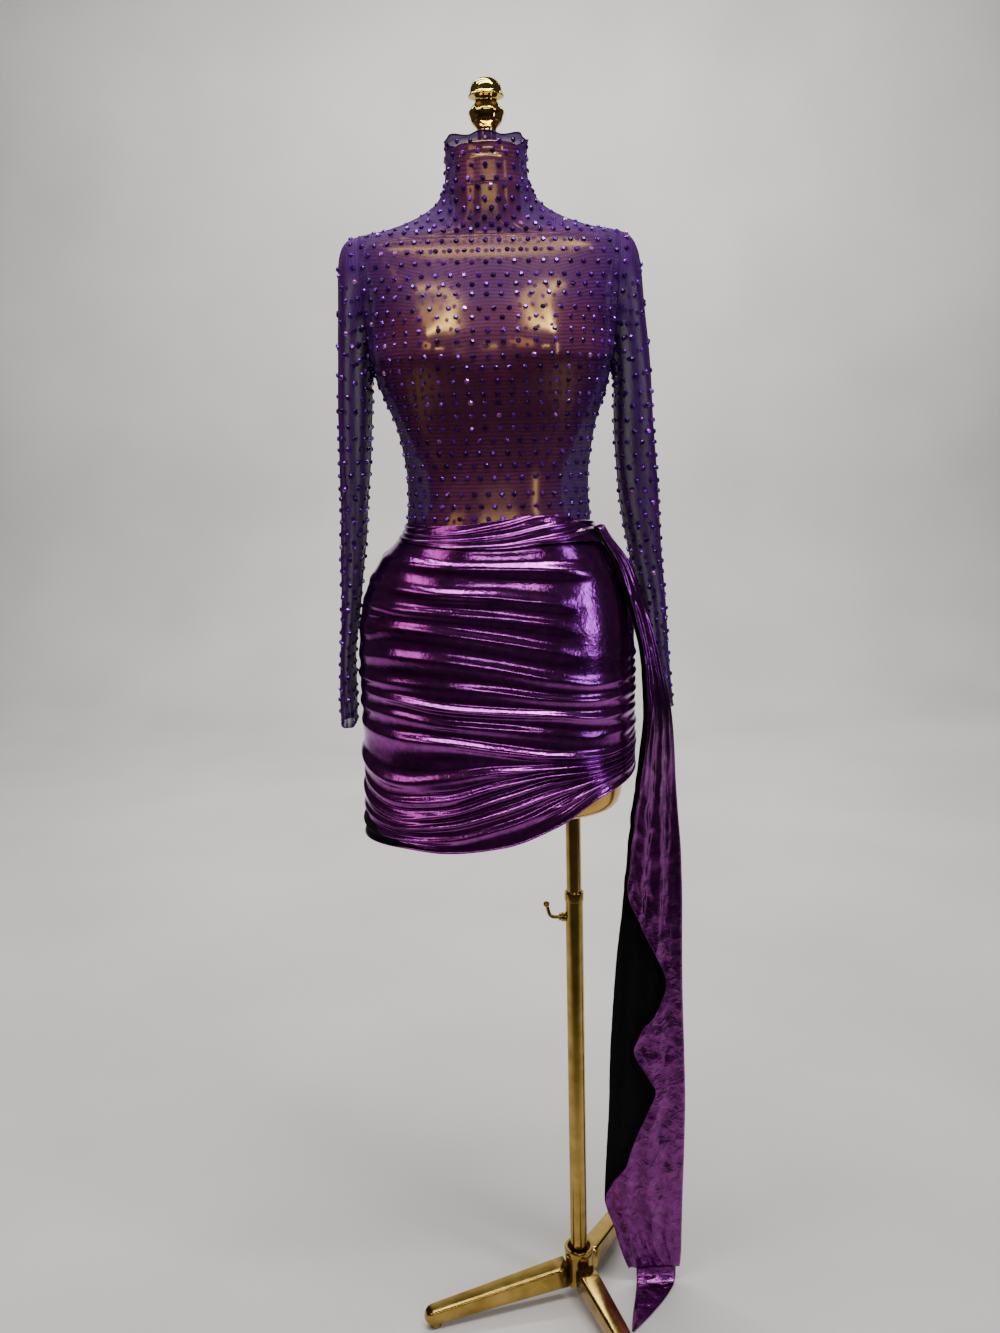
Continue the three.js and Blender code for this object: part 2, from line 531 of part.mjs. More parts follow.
// Sleeve: loops that turn from the armhole to level cuts, with long creases. first and last pick a
// stretch of the table, and an end inside the sleeve stops half a seam gap short.
function sleeveGeometry(table, mirror, first = 0, last = table.length - 1) {
  const turn = range(17, 0, 2 * Math.PI).slice(0, -1);
  const cutTop = (i) => i === first && first > 0;
  const cutBottom = (i) => i === last && last < table.length - 1;
  const rows = table.map((row, i) => turn.map((angle) => {
    const across = (1 + Math.cos(angle)) / 2;
    const crease = SLEEVE_CREASE.depth * Math.cos(SLEEVE_CREASE.count * angle) * smooth(i, 3, 7);
    const x = mix(row.inX, row.outX, across) + crease * Math.cos(angle);
    const y = row.y - (row.half + crease) * Math.sin(angle);
    const short = (TOUCH / 2) * (Number(cutBottom(i)) - Number(cutTop(i)));
    return new THREE.Vector3(mirror * x, y, mix(row.inZ, row.outZ, across) + short);
  })).slice(first, last + 1);
  return wall(rows, {
    closed: true,
    side: -mirror,
    square: (i, j, normal) => {
      if (i + first === 0) normal.setX(0).normalize();
      if (cutTop(i + first) || cutBottom(i + first)) normal.setZ(0).normalize();
    },
  });
}

// Train: back layer, spine and front layer in one section, then the tail joined on
function trainGeometry() {
  const at = curves(TRAIN, ['x', 'y', 'sx', 'sy', 'room']);
  const share = curve(CASCADE, 'share');
  const heights = [...new Set([...TRAIN, ...CASCADE].map(({ z }) => z))].sort((p, q) => p - q);
  const rows = heights.map((z) => {
    const edge = new THREE.Vector2(at.x(z), at.y(z));
    const spine = new THREE.Vector2(at.sx(z), at.sy(z));
    const along = edge.clone().sub(spine);
    const out = new THREE.Vector2(along.y, -along.x).normalize();
    if (out.y > 0) out.negate();
    const room = at.room(z);
    const layer = (parts, to, offset, sign) => range(parts, 0, 1).map((t) => {
      const pleat = TRAIN_PLEAT.depth * Math.sin(Math.PI * 2 * TRAIN_PLEAT.count * t * to) * smooth(t, 0, 0.2);
      return spine.clone().addScaledVector(along, t * to).addScaledVector(out, offset + sign * pleat);
    });
    const back = layer(7, 1, 0, 1).reverse();
    const front = layer(7, share(z), room, 1);
    const bend = spine.clone().addScaledVector(out, room / 2).addScaledVector(along.clone().normalize(), -room / 2);
    return [...back, bend, ...front].map((p) => new THREE.Vector3(p.x, p.y, z));
  });
  const strip = solid(wall(rows, { side: 1 }));
  const tail = solid(wall(TAIL.map(({ z, y, left, right }) => (
    range(5, left, right).map((x) => new THREE.Vector3(x, y, z)))), { side: -1 }));
  return fromSolid(strip.add(tail));
}

// Leg: a tapering box with bevelled top edges, a rounded tip and a pad, cut to the hub's side
function legGeometry({ angle, length }, hubCut) {
  const stations = [0, 0.25, 0.5, 0.75, 0.93, 0.985, 1];
  const shrink = [1, 1, 1, 1, 1, 0.8, 0.45];
  const start = HUB.r / 2;
  const loops = stations.map((t, i) => {
    const half = mix(LEG.width, LEG.tipWidth, t) / 2 * shrink[i];
    const top = mix(LEG.rootTop, LEG.tipTop, t) - (1 - shrink[i]) * 12;
    const low = mix(LEG.rootLow, LEG.tipLow, t) + (1 - shrink[i]) * 5;
    const bevel = LEG.bevel * shrink[i];
    return [[-half, low], [half, low], [half, top - bevel], [half - bevel, top],
      [bevel - half, top], [-half, top - bevel]].map(([side, z]) => (
      new THREE.Vector3(mix(start, length, t), side, z)));
  });
  const pad = new THREE.BoxGeometry(PAD.from - PAD.to, 2 * PAD.half, PAD.height + 2)
    .translate(length - (PAD.from + PAD.to) / 2, 0, (PAD.height + 2) / 2);
  const body = solid(loft(loops)).add(solid(pad)).subtract(hubCut);
  return fromSolid(body).rotateZ(THREE.MathUtils.degToRad(angle)).translate(POLE_X, 0, 0);
}

// Lock screw: a rod that goes into the boss, bends up and ends in a ball
function lockScrewGeometry() {
  const face = POLE_X - POLE.lower - LOCK.bossLength;
  const path = [
    [face + LOCK.bossLength - 1, 0],
    [face - LOCK.arm + LOCK.bend, 0],
    [face - LOCK.arm + LOCK.bend * 0.4, LOCK.bend * 0.12],
    [face - LOCK.arm, LOCK.bend * 0.65],
    [face - LOCK.arm - 3, LOCK.rise],
  ];
  const turn = range(9, 0, 2 * Math.PI).slice(0, -1);
  const loops = path.map(([x, rise], i) => {
    const before = path[Math.max(i - 1, 0)];
    const after = path[Math.min(i + 1, path.length - 1)];
    const tilt = Math.atan2(after[1] - before[1], before[0] - after[0]);
    return turn.map((angle) => new THREE.Vector3(
      x + LOCK.rod * Math.cos(angle) * Math.sin(tilt),
      LOCK.rod * Math.sin(angle),
      LOCK.z + rise + LOCK.rod * Math.cos(angle) * Math.cos(tilt),
    ));
  });
  const [endX, endRise] = path[path.length - 1];
  const ball = new THREE.SphereGeometry(LOCK.ball, 12, 8).translate(endX, 0, LOCK.z + endRise);
  const collar = turned([[0, 0], [LOCK.boss * 0.8, 0], [LOCK.boss * 0.8, 3], [0, 3]], 12)
    .rotateY(-Math.PI / 2).translate(face - TOUCH, 0, LOCK.z);
  return fromSolid(solid(loft(loops)).add(solid(ball)).add(solid(collar)));
}

// Lower tube with the welded boss that the lock screw turns in
function lowerPoleGeometry() {
  const tube = turned([[POLE.bore, POLE.bottom], [POLE.lower, POLE.bottom], [POLE.lower, POLE.step],
    [POLE.bore, POLE.step], [POLE.bore, POLE.bottom]], 20).translate(POLE_X, 0, 0);
  const reach = POLE.lower - POLE.bore + LOCK.bossLength;
  const bossAt = (radius, from, length) => solid(turned([[0, 0], [radius, 0], [radius, length], [0, length]], 12)
    .rotateY(-Math.PI / 2).translate(from, 0, LOCK.z));
  const boss = bossAt(LOCK.boss, POLE_X - POLE.bore - 0.5, reach - 0.5);
  const hole = bossAt(LOCK.hole, POLE_X - POLE.bore + 1, reach + 4);
  return fromSolid(solid(tube).add(boss).subtract(hole));
}

const NECK = { r: 39.5, top: 1583.5 };
const CAP = [[0, 0], [0.96, 0], [1, 0.12], [1, 0.82], [0.95, 1], [0, 1]];
// Finial outline: radius and height over the cap
const FINIAL = [[0, 0], [12.6, 0], [11.4, 3], [11.4, 19], [13.5, 21], [18.4, 28], [20.2, 36], [21.6, 38.5],
  [20.8, 41], [16.5, 46], [13.2, 51], [17, 54.5], [21.6, 56.5], [19.8, 59.5], [18.6, 64], [15.2, 70],
  [9, 75], [0, 77.8]];

add('form_torso', formGeometry(), 'gold');
const capHeight = NECK.top - NECK_TOP_Z - TOUCH;
add('neck_cap', turned(CAP.map(([r, z]) => [r * NECK.r, z * capHeight]), 28)
  .translate(0, 0, NECK_TOP_Z + TOUCH), 'gold');
add('finial', turned(FINIAL, 20).translate(1, 0, NECK.top + TOUCH), 'gold');

add('bodice_front', bodiceGeometry(-1, 17), 'mesh');
add('bodice_back', bodiceGeometry(1, 13), 'mesh');
add('collar', collarGeometry(), 'mesh');
add('sleeve_right_upper', sleeveGeometry(SLEEVE_RIGHT, -1, 0, ELBOW_ROW), 'mesh');
add('sleeve_right_lower', sleeveGeometry(SLEEVE_RIGHT, -1, ELBOW_ROW), 'mesh');
add('sleeve_left', sleeveGeometry(SLEEVE_LEFT, 1), 'mesh');
add('skirt_front', skirtGeometry(-1, 17), 'foil');
add('skirt_back', skirtGeometry(1, 13), 'foil');
add('waist_drape', drapeGeometry(), 'foil');
add('train', trainGeometry(), 'foil');

add('pole_upper', turned([[0, POLE.step - POLE.overlap], [POLE.upper, POLE.step - POLE.overlap],
  [POLE.upper, BOTTOM_Z - TOUCH], [0, BOTTOM_Z - TOUCH]], 20).translate(POLE_X, 0, 0), 'gold');
add('pole_lower', lowerPoleGeometry(), 'gold');
add('lock_screw', lockScrewGeometry(), 'gold');
const boreRadius = POLE.lower + 1.5 * TOUCH;
add('hub', turned([[0, HUB.bottom], [HUB.r, HUB.bottom], [HUB.r, HUB.top], [HUB.cup, HUB.top],
  [HUB.cup, HUB.top - HUB.cupDepth], [boreRadius, HUB.top - HUB.cupDepth],
  [boreRadius, POLE.bottom - TOUCH], [0, POLE.bottom - TOUCH]], 24).translate(POLE_X, 0, 0), 'gold');
const hubCut = solid(turned([[0, 0], [HUB.r + 2 * TOUCH, 0], [HUB.r + 2 * TOUCH, HUB.top + 5], [0, HUB.top + 5]], 24));
LEGS.forEach((leg) => add(leg.name, legGeometry(leg, hubCut), 'gold'));

// The origin is the middle of the footprint, on the floor
const box = new THREE.Box3().setFromObject(dress);
const middle = box.getCenter(new THREE.Vector3());
dress.position.set(-middle.x, -middle.y, -box.min.z);

export default dress;
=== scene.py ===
# %% [markdown]
# # A beaded mesh and foil jersey mini dress on a gold dress form
# The dress has a sheer turtleneck top with long sleeves, strewn with rhinestones, a short skirt of
# gathered metallic jersey, and a long train that falls from the left hip to the floor. It stands
# on a gold-plated form without arms or legs, on a brass stand with three feet.
#
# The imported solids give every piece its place. This script dresses them: each cloth piece is worked
# out again as a finer surface in the same place, with the folds that are too small for the solids.

import math

import bpy
import numpy as np
from mathutils import Matrix, Vector


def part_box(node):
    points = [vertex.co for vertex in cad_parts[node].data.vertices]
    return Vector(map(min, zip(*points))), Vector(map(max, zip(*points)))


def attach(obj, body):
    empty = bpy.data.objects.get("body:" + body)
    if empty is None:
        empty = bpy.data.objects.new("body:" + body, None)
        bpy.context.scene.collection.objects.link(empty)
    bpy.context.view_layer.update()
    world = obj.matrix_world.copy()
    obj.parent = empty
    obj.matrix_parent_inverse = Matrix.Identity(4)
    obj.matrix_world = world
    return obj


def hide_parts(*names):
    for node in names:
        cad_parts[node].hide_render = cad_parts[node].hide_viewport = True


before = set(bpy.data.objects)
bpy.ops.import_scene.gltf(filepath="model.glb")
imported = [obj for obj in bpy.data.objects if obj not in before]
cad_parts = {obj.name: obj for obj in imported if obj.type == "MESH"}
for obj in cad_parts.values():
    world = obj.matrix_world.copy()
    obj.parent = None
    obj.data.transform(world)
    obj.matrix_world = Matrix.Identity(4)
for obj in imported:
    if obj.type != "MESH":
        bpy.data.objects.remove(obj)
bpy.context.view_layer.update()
STAND_BODY, SCREW_BODY = "dress_on_stand", "lock_screw"
print("solids loaded:", len(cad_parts))

# %% [markdown]
# ## Camera and studio
# The photograph was taken from chest height with a phone lens, turned a little down and leaning by
# a degree and a half. A camera is placed from those numbers. The turn is written as a matrix
# product, so that the lean is about the camera's own line of sight.

# %% Camera
neck_low, neck_high = (np.array(corner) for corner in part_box("neck_cap"))
AXIS = (neck_low + neck_high)[:2] / 2          # the neck's axis, x and y in metres
LENS_MM, SENSOR_MM = 30.79, 36.0
EYE_Y, EYE_Z = -1.475, 1.235
PITCH, LEAN = math.radians(11.2), math.radians(-1.5)

lens = bpy.data.cameras.new("photo_camera")
lens.lens, lens.sensor_width = LENS_MM, SENSOR_MM
lens.clip_start = 0.05
camera = bpy.data.objects.new("photo_camera", lens)
camera.matrix_world = (Matrix.Translation((AXIS[0], AXIS[1] + EYE_Y, EYE_Z))
                       @ Matrix.Rotation(math.pi / 2 - PITCH, 4, "X")
                       @ Matrix.Rotation(LEAN, 4, "Z"))
bpy.context.scene.collection.objects.link(camera)
bpy.context.scene.camera = camera
print("camera at", [round(value, 3) for value in camera.location])

# %% [markdown]
# ## Nodes in one line
# A material is a small graph of nodes. This helper adds one node, sets its own options, and gives
# each of its inputs either a value or the output of a node made before. Colours are written as the
# hex values that a picture program shows, and one function turns them to the linear light that the
# shader works in. The smaller ones write the nodes that come back in nearly every material.

# %% Helpers for colour and nodes
def linear(hex_code, alpha=1.0):
    """sRGB hex to linear light: the low end is divided by 12.92, the rest raised to the power 2.4."""
    value = np.array([int(hex_code[i:i + 2], 16) / 255 for i in (0, 2, 4)])
    light = np.where(value <= 0.04045, value / 12.92, ((value + 0.055) / 1.055) ** 2.4)
    return (*light.tolist(), alpha)


def node(tree, kind, inputs=None, **settings):
    """Adds a node of this kind; inputs maps a socket's name or number to a value or an output."""
    made = tree.nodes.new(kind)
    for name, value in settings.items():
        setattr(made, name, value)
    for name, value in (inputs or {}).items():
        if isinstance(value, bpy.types.NodeSocket):
            tree.links.new(value, made.inputs[name])
        else:
            made.inputs[name].default_value = value
    return made


def finish(name, **values):
    """A new material with one Principled shader; values are its sockets, with _ for a space."""
    material = bpy.data.materials.new(name)
    material.use_nodes = True
    tree = material.node_tree
    tree.nodes.clear()
    shader = node(tree, "ShaderNodeBsdfPrincipled",
                  {key.replace("_", " "): value for key, value in values.items()})
    node(tree, "ShaderNodeOutputMaterial", {"Surface": shader.outputs[0]})
    return material, tree, shader


def ramp(tree, factor, *stops):
    """A colour ramp through (place, hex colour) stops; returns its colour output."""
    made = node(tree, "ShaderNodeValToRGB", {"Fac": factor})
    elements = made.color_ramp.elements
    while len(elements) < len(stops):
        elements.new(0.5)
    for element, (place, colour) in zip(elements, stops):
        element.position = place
        element.color = linear(colour)
    return made.outputs["Color"]


def noise(tree, scale, detail, **more):
    """Noise in the object's own coordinates, with this many cells to the metre; its outputs."""
    place = node(tree, "ShaderNodeTexCoord").outputs["Object"]
    return node(tree, "ShaderNodeTexNoise",
                {"Vector": place, "Scale": scale, "Detail": detail, **more}).outputs


def maths(tree, operation, *values):
    """One step of arithmetic on values and outputs; returns its output."""
    return node(tree, "ShaderNodeMath", dict(enumerate(values)), operation=operation).outputs[0]


def mixed(tree, share, one, other, blend="MIX"):
    """One colour turned towards the other by a share from 0 to 1."""
    return node(tree, "ShaderNodeMix", {0: share, 6: one, 7: other}, data_type="RGBA",
                blend_type=blend).outputs[2]


def kept(tree, name):
    """A value that the mesh keeps in its points."""
    return node(tree, "ShaderNodeAttribute", attribute_name=name).outputs["Fac"]


def wire(tree, shader, **outputs):
    """Joins outputs to the shader's sockets, with _ for a space."""
    for name, output in outputs.items():
        tree.links.new(output, shader.inputs[name.replace("_", " ")])


# %% [markdown]
# ## Gold plating
# The form is a plastic shell with a vacuum-plated gold skin, the stand is polished brass tube and
# castings. Both are metals, so the colour sits in the reflection: metallic 1 and a yellow base. Plated
# plastic is never quite flat, which a very weak, wide bump gives. The brass has fine lengthwise
# polishing lines, far too fine to show, so only a little unevenness of roughness is drawn.

# %% Materials of the form and the stand
def gold_plating(name, roughness, dark, bright):
    material, tree, shader = finish(name, Metallic=1.0, Roughness=roughness)
    cloudy, wave = noise(tree, 14.0, 3.0)["Fac"], noise(tree, 9.0, 1.0)["Fac"]
    bump = node(tree, "ShaderNodeBump", {"Height": wave, "Strength": 0.12, "Distance": 0.004})
    wire(tree, shader, Base_Color=ramp(tree, cloudy, (0.3, dark), (0.7, bright)),
         Normal=bump.outputs["Normal"])
    return material


def polished_brass():
    material, tree, shader = finish("polished_brass", Metallic=1.0)
    smear = noise(tree, 35.0, 4.0)["Fac"]
    dull = node(tree, "ShaderNodeMapRange", {"Value": smear, "To Min": 0.1, "To Max": 0.24})
    wire(tree, shader, Base_Color=ramp(tree, smear, (0.3, "8C7234"), (0.7, "B89A52")),
         Roughness=dull.outputs["Result"])
    return material


GOLD = gold_plating("plated_gold_shell", 0.2, "B48C3C", "D4AC58")
BRIGHT_GOLD = gold_plating("plated_gold_turning", 0.09, "C8A440", "E6CB68")
BRASS = polished_brass()

# %% [markdown]
# ## Purple power mesh
# Power mesh is a fine net of nylon and elastane, knitted with holes of about half a millimetre. From
# two metres the holes merge into a tint, so the cloth is drawn as a see-through film: the share of
# yarn is its alpha. Each mesh piece carries that share in its points as the value "cover". Where the
# net is stretched over the bust it is thinner, and near seams and in the creases of a sleeve it lies
# double. A second value, "over_gold", says where the gold form lies close behind. There the yarn is
# painted mauve instead of violet: a painted warm light, standing for the gold that lights it from
# behind. The rows of knitting are drawn far coarser than they are, so that they show at all: a light
# and a dark row together take 4.7 mm.

# %% Material of the mesh
YARN, SLEEVE_YARN = 0.86, 0.81      # share of yarn where the mesh lies single
MESH_ROW_MM = 2.4           # one light or one dark row, half a wave of the texture
ROWS_TO_SCALE = 6.283       # rows in one unit of the wave texture's scale, nearly


def power_mesh():
    material, tree, shader = finish("nylon_power_mesh", Roughness=0.6, Specular_IOR_Level=0.12)
    along = node(tree, "ShaderNodeUVMap", uv_map="cut").outputs["UV"]
    rows = node(tree, "ShaderNodeTexWave", {"Vector": along, "Scale": 1000 / MESH_ROW_MM / ROWS_TO_SCALE,
                                            "Distortion": 1.5, "Detail": 1.0},
                bands_direction="Y")
    knit = maths(tree, "MULTIPLY", rows.outputs["Fac"], noise(tree, 40.0, 3.0)["Fac"])
    violet = ramp(tree, knit, (0.05, "360A4C"), (0.4, "400C58"), (0.8, "541870"))
    # mauve: painted warm light, used where the gold form lies behind the yarn
    mauve = ramp(tree, knit, (0.05, "5A2448"), (0.4, "6A2C56"), (0.8, "803C6C"))
    wire(tree, shader, Base_Color=mixed(tree, kept(tree, "over_gold"), violet, mauve),
         Alpha=maths(tree, "MULTIPLY_ADD", knit, 0.06, kept(tree, "cover")))
    return material


MESH = power_mesh()

# %% [markdown]
# ## Foil jersey
# The skirt and the train are polyester jersey with a metallic foil pressed on one side. The foil
# mirrors the room in purple, and each stitch of the knit tilts it a little, so a highlight is a bright
# streak with a grainy rim. It is a metal in the shader, with a purple base, and two bumps: the grain
# of the knit, drawn at 2.6 mm so that it shows, and crushed wrinkles at about a centimetre. The train
# was folded in a bag, so its lower part also carries creased facets; its value "crushed" says how
# much. The back of the cloth has no foil and is plain matte black.

# %% Materials of the skirt and the train
GRAIN_MM, CRUSH_MM, FACET_MM = 2.6, 11.0, 26.0


def foil_jersey(name, dark, bright, crush, roughness, crumple=0.0):
    material, tree, shader = finish(name, Metallic=0.98, Roughness=roughness, Coat_Weight=0.15,
                                    Coat_Roughness=0.15)
    grain = noise(tree, 1000 / GRAIN_MM, 1.0)["Fac"]
    wrinkle = noise(tree, 1000 / CRUSH_MM, 4.0, Roughness=0.55, Distortion=0.6)
    height = wrinkle["Fac"]
    if crumple:
        place = node(tree, "ShaderNodeTexCoord").outputs["Object"]
        bent = node(tree, "ShaderNodeVectorMath", {0: wrinkle["Color"], 1: (0.02,) * 3, 2: place},
                    operation="MULTIPLY_ADD").outputs[0]
        facet = node(tree, "ShaderNodeTexVoronoi", {"Vector": bent, "Scale": 1000 / FACET_MM})
        height = maths(tree, "MULTIPLY_ADD", facet.outputs["Distance"], crumple, height)
        height = maths(tree, "MULTIPLY", height, kept(tree, "crushed"))
    coarse = node(tree, "ShaderNodeBump", {"Height": height, "Strength": crush, "Distance": 0.004})
    fine = node(tree, "ShaderNodeBump", {"Height": grain, "Strength": 0.5, "Distance": 0.0003,
                                         "Normal": coarse.outputs["Normal"]})
    wire(tree, shader, Base_Color=ramp(tree, wrinkle["Fac"], (0.35, dark), (0.7, bright)),
         Normal=fine.outputs["Normal"])
    return material


def matte_reverse():
    material, tree, shader = finish("polyester_jersey_reverse", Roughness=0.95,
                                    Specular_IOR_Level=0.2)
    fluff = noise(tree, 500.0, 2.0)["Fac"]
    wire(tree, shader, Base_Color=ramp(tree, fluff, (0.3, "020203"), (0.8, "09070B")))
    return material


FOIL = foil_jersey("foil_jersey", "7A2E80", "9C3E9E", 0.1, 0.17)
# The train is the skirt's cloth, but its purple is set darker than the skirt's: painted shade. Its crush
# and facets are bumps.
TRAIN_FOIL = foil_jersey("foil_jersey_crushed", "642468", "8A3A8A", 0.5, 0.2, 1.3)
REVERSE = matte_reverse()

# %% [markdown]
# ## Rhinestones
# The stones are hot-fix glass: a clear dome cut in facets over a mirrored back, glued on. A
# transparent glass with a mirror under it is costly to render and looks the same from outside as a
# coloured stone with a hard, bright surface, so each is a deep violet, half metal, with a thin clear
# coat. Each sits a few degrees off square, as glued stones do. Every stone carries its own random
# number, which sets its violet from dark to light; on the few highest it is a bright pink, a painted
# flash of light such as cut glass gives.

# %% Material of the stones
def cut_glass():
    material, tree, shader = finish("foil_backed_cut_glass", Metallic=0.7, Roughness=0.2,
                                    Coat_Weight=0.22, Coat_Roughness=0.04, IOR=1.54)
    # the last stop, a bright pink on a few stones, is a painted flash of light
    colour = ramp(tree, kept(tree, "stone"), (0.0, "2E064C"), (0.55, "520E84"), (0.95, "8420BC"),
                  (0.99, "EE9CE6"))
    wire(tree, shader, Base_Color=colour)
    return material


STONE = cut_glass()

# %% [markdown]
# ## Surfaces from grids
# Every piece below is a grid of points: one direction runs across the piece and the other along it.
# Neighbouring points make four-sided faces. The same grid gives the cloth's own map, measured in
# metres along the cloth, so a pattern on it keeps its real size. Numbers between the rows of a table
# come from a smooth curve that never overshoots them.

# %% Curves and grids
def curve(at, known, values):
    """Monotone cubic through the rows of values. Each inner slope is the harmonic mean of its
    neighbours where they have one sign, and zero at a turn."""
    known, values = np.asarray(known, float), np.asarray(values, float)
    spread = (-1,) + (1,) * (values.ndim - 1)
    step = np.diff(known)
    slope = np.diff(values, axis=0) / step.reshape(spread)
    product, total = slope[:-1] * slope[1:], slope[:-1] + slope[1:]
    inner = np.where(product > 0, 2 * product / np.where(total == 0, 1, total), 0)
    tangent = np.concatenate([slope[:1], inner, slope[-1:]])
    at = np.clip(np.atleast_1d(at), known[0], known[-1])
    i = np.clip(np.searchsorted(known, at, side="right") - 1, 0, len(known) - 2)
    h = step[i].reshape(spread)
    t = ((at - known[i]) / step[i]).reshape(spread)
    rise = t * t * (3 - 2 * t)
    return (values[i] * (1 - rise) + values[i + 1] * rise
            + h * (t * (1 - t) ** 2 * tangent[i] - t * t * (1 - t) * tangent[i + 1]))


def smooth(value, low, high):
    """0 below low, 1 above high, and an S curve between: t squared times three less two t."""
    t = np.clip((np.asarray(value, float) - low) / (high - low), 0, 1)
    return t * t * (3 - 2 * t)


def ripple(u, v, seed):
    """Gentle unevenness between about -1 and 1: six sine waves with seeded turns and phases."""
    rng = np.random.default_rng(seed)
    total = 0
    for _ in range(6):
        a, b = rng.uniform(-1, 1), rng.uniform(-1, 1)
        total = total + np.sin(2 * np.pi * (a * u + b * v + rng.uniform()))
    return total / math.sqrt(6)


def full_turn(count):
    """Angles all the way round, without the last, which is the first again."""
    return np.linspace(0, 2 * np.pi, count, endpoint=False)


def read_table(table, at):
    """The other columns of a table at these values of its first, each as a column of a grid."""
    return curve(at, table[:, 0], table[:, 1:]).T[:, :, None]


def unit(vectors):
    """Vectors divided by their own length."""
    return vectors / np.maximum(np.linalg.norm(vectors, axis=-1, keepdims=True), 1e-9)


def placed(x, y, z):
    """Millimetres about the torso's middle to metres in the frame."""
    x, y, z = np.broadcast_arrays(x, y, z)
    return np.stack([x / 1000 + AXIS[0], y / 1000 + AXIS[1], z / 1000], axis=-1)


def lengths(points, axis):
    """Distance run along one direction of a grid, starting from zero."""
    step = np.linalg.norm(np.diff(points, axis=axis), axis=-1)
    start = np.zeros_like(np.take(step, [0], axis=axis))
    return np.cumsum(np.concatenate([start, step], axis=axis), axis=axis)


def wrapped(grid, wrap=True):
    """The grid with its first column again at the end, where it goes all the way round."""
    return np.concatenate([grid, grid[:, :1]], axis=1) if wrap else grid


def mesh_piece(name, corners, faces, material, **shares):
    """An object at the origin; shares are values kept in its points, such as cover."""
    mesh = bpy.data.meshes.new(name)
    mesh.from_pydata(corners, [], faces)
    for title, share in shares.items():
        values = np.asarray(share, np.float32)
        mesh.attributes.new(title, "FLOAT", "POINT").data.foreach_set("value", values)
    mesh.materials.append(material)
    mesh.update()
    piece = bpy.data.objects.new(name, mesh)
    bpy.context.scene.collection.objects.link(piece)
    return piece


def grid_piece(name, points, material, wrap=False, flip=False, **shares):
    """A smooth mesh of quads over a grid of points; wrap joins the last column to the first."""
    rows, columns = points.shape[:2]
    index = wrapped(np.arange(rows * columns).reshape(rows, columns), wrap)
    ring = lambda grid: np.stack([grid[:-1, :-1], grid[:-1, 1:], grid[1:, 1:], grid[1:, :-1]], 2)
    quads = ring(index).reshape(-1, 4)
    across, along = lengths(wrapped(points, wrap), 1), lengths(wrapped(points, wrap), 0)
    cut = ring(np.stack([across - across[:, -1:] / 2, along], axis=-1)).reshape(-1, 4, 2)
    if flip:
        quads, cut = quads[:, ::-1], cut[:, ::-1]
    shares = {title: np.broadcast_to(share, (rows, columns)).ravel() for title, share in shares.items()}
    piece = mesh_piece(name, points.reshape(-1, 3), quads, material, **shares)
    piece.data.uv_layers.new(name="cut").data.foreach_set("uv", cut.astype(np.float32).ravel())
    piece.data.polygons.foreach_set("use_smooth", np.ones(len(quads), bool))
    piece.data.update()
    return piece


def area_of(points, wrap=False):
    """Area of a grid of quads in square metres: half the cross product of each face's diagonals."""
    points = wrapped(points, wrap)
    one = points[1:, 1:] - points[:-1, :-1]
    other = points[1:, :-1] - points[:-1, 1:]
    return float(np.linalg.norm(np.cross(one, other), axis=-1).sum() / 2)


def wall(piece, millimetres, reverse=None):
    """Gives a sheet its thickness, inwards; reverse is the finish of its other side."""
    solid = piece.modifiers.new("cloth_wall", "SOLIDIFY")
    solid.thickness, solid.offset = millimetres / 1000, -1
    if reverse:
        piece.data.materials.append(reverse)
        solid.material_offset = solid.material_offset_rim = 1
    return piece


# %% [markdown]
# ## The form
# A dress form is a moulded shell. Its level sections are ovals between an ellipse and a rectangle:
# the sine and cosine of the turn are raised to a power under one, which fills out the corners. The
# table gives half width and depth at each height, and a soft bump on each side carries the bust.

# %% The bare form
SQUARENESS = 2.3
# height, half width, depth to the front, depth to the back
FORM = np.array([
    (752, 139, 78, 82), (755, 148, 88, 92), (761, 154, 95, 99), (772, 158, 100, 105),
    (800, 162, 104, 110), (840, 166, 107, 114), (890, 170, 109, 117), (940, 172, 109, 117),
    (985, 170, 107, 113), (1025, 162, 103, 105), (1060, 147, 97, 94), (1095, 122, 89, 82),
    (1130, 97, 80, 70), (1160, 85, 76, 63), (1190, 86, 74, 60), (1220, 98, 76, 64),
    (1260, 114, 80, 73), (1300, 131, 85, 83), (1340, 143, 87, 90), (1380, 145, 80, 93),
    (1415, 143, 68, 90), (1445, 150, 56, 80), (1462, 153, 47, 68), (1473, 148, 40, 55),
    (1479, 130, 36, 46), (1482, 98, 36, 43), (1486, 64, 38, 42), (1494, 47, 39, 41),
    (1510, 41, 39.5, 40), (1569, 39, 39, 39.5)], float)
FORM_BUST = dict(x=70, z=1338, rise=31, wide=43, above=54, below=46)


def bust(x, z, shape):
    """How far the bust carries the front out: one bell curve across each side, one in height."""
    tall = np.where(z > shape["z"], shape["above"], shape["below"])
    across = sum(np.exp(-((x - side * shape["x"]) / shape["wide"]) ** 2) for side in (1, -1))
    return shape["rise"] * across * np.exp(-((z - shape["z"]) / tall) ** 2)


def form_surface(rows=220, columns=160):
    """x = half width times the signed power 2/2.3 of the cosine, y the same of the sine."""
    levels = curve(np.linspace(0, 1, rows), np.linspace(0, 1, len(FORM)), FORM[:, 0])
    half, front, back = read_table(FORM, levels)
    turn = full_turn(columns)
    power = lambda value: np.sign(value) * np.abs(value) ** (2 / SQUARENESS)
    x = half * power(np.cos(turn))
    z = levels[:, None] + 0 * x
    y = np.where(np.sin(turn) < 0, front, back) * power(np.sin(turn))
    y = y - bust(x, z, FORM_BUST) * smooth(-np.sin(turn), 0, 0.5)
    points = placed(x, y, z)
    close = lambda ring: np.repeat(ring.mean(axis=0)[None, None], columns, axis=1)
    return np.concatenate([close(points[0]), points, close(points[-1])])


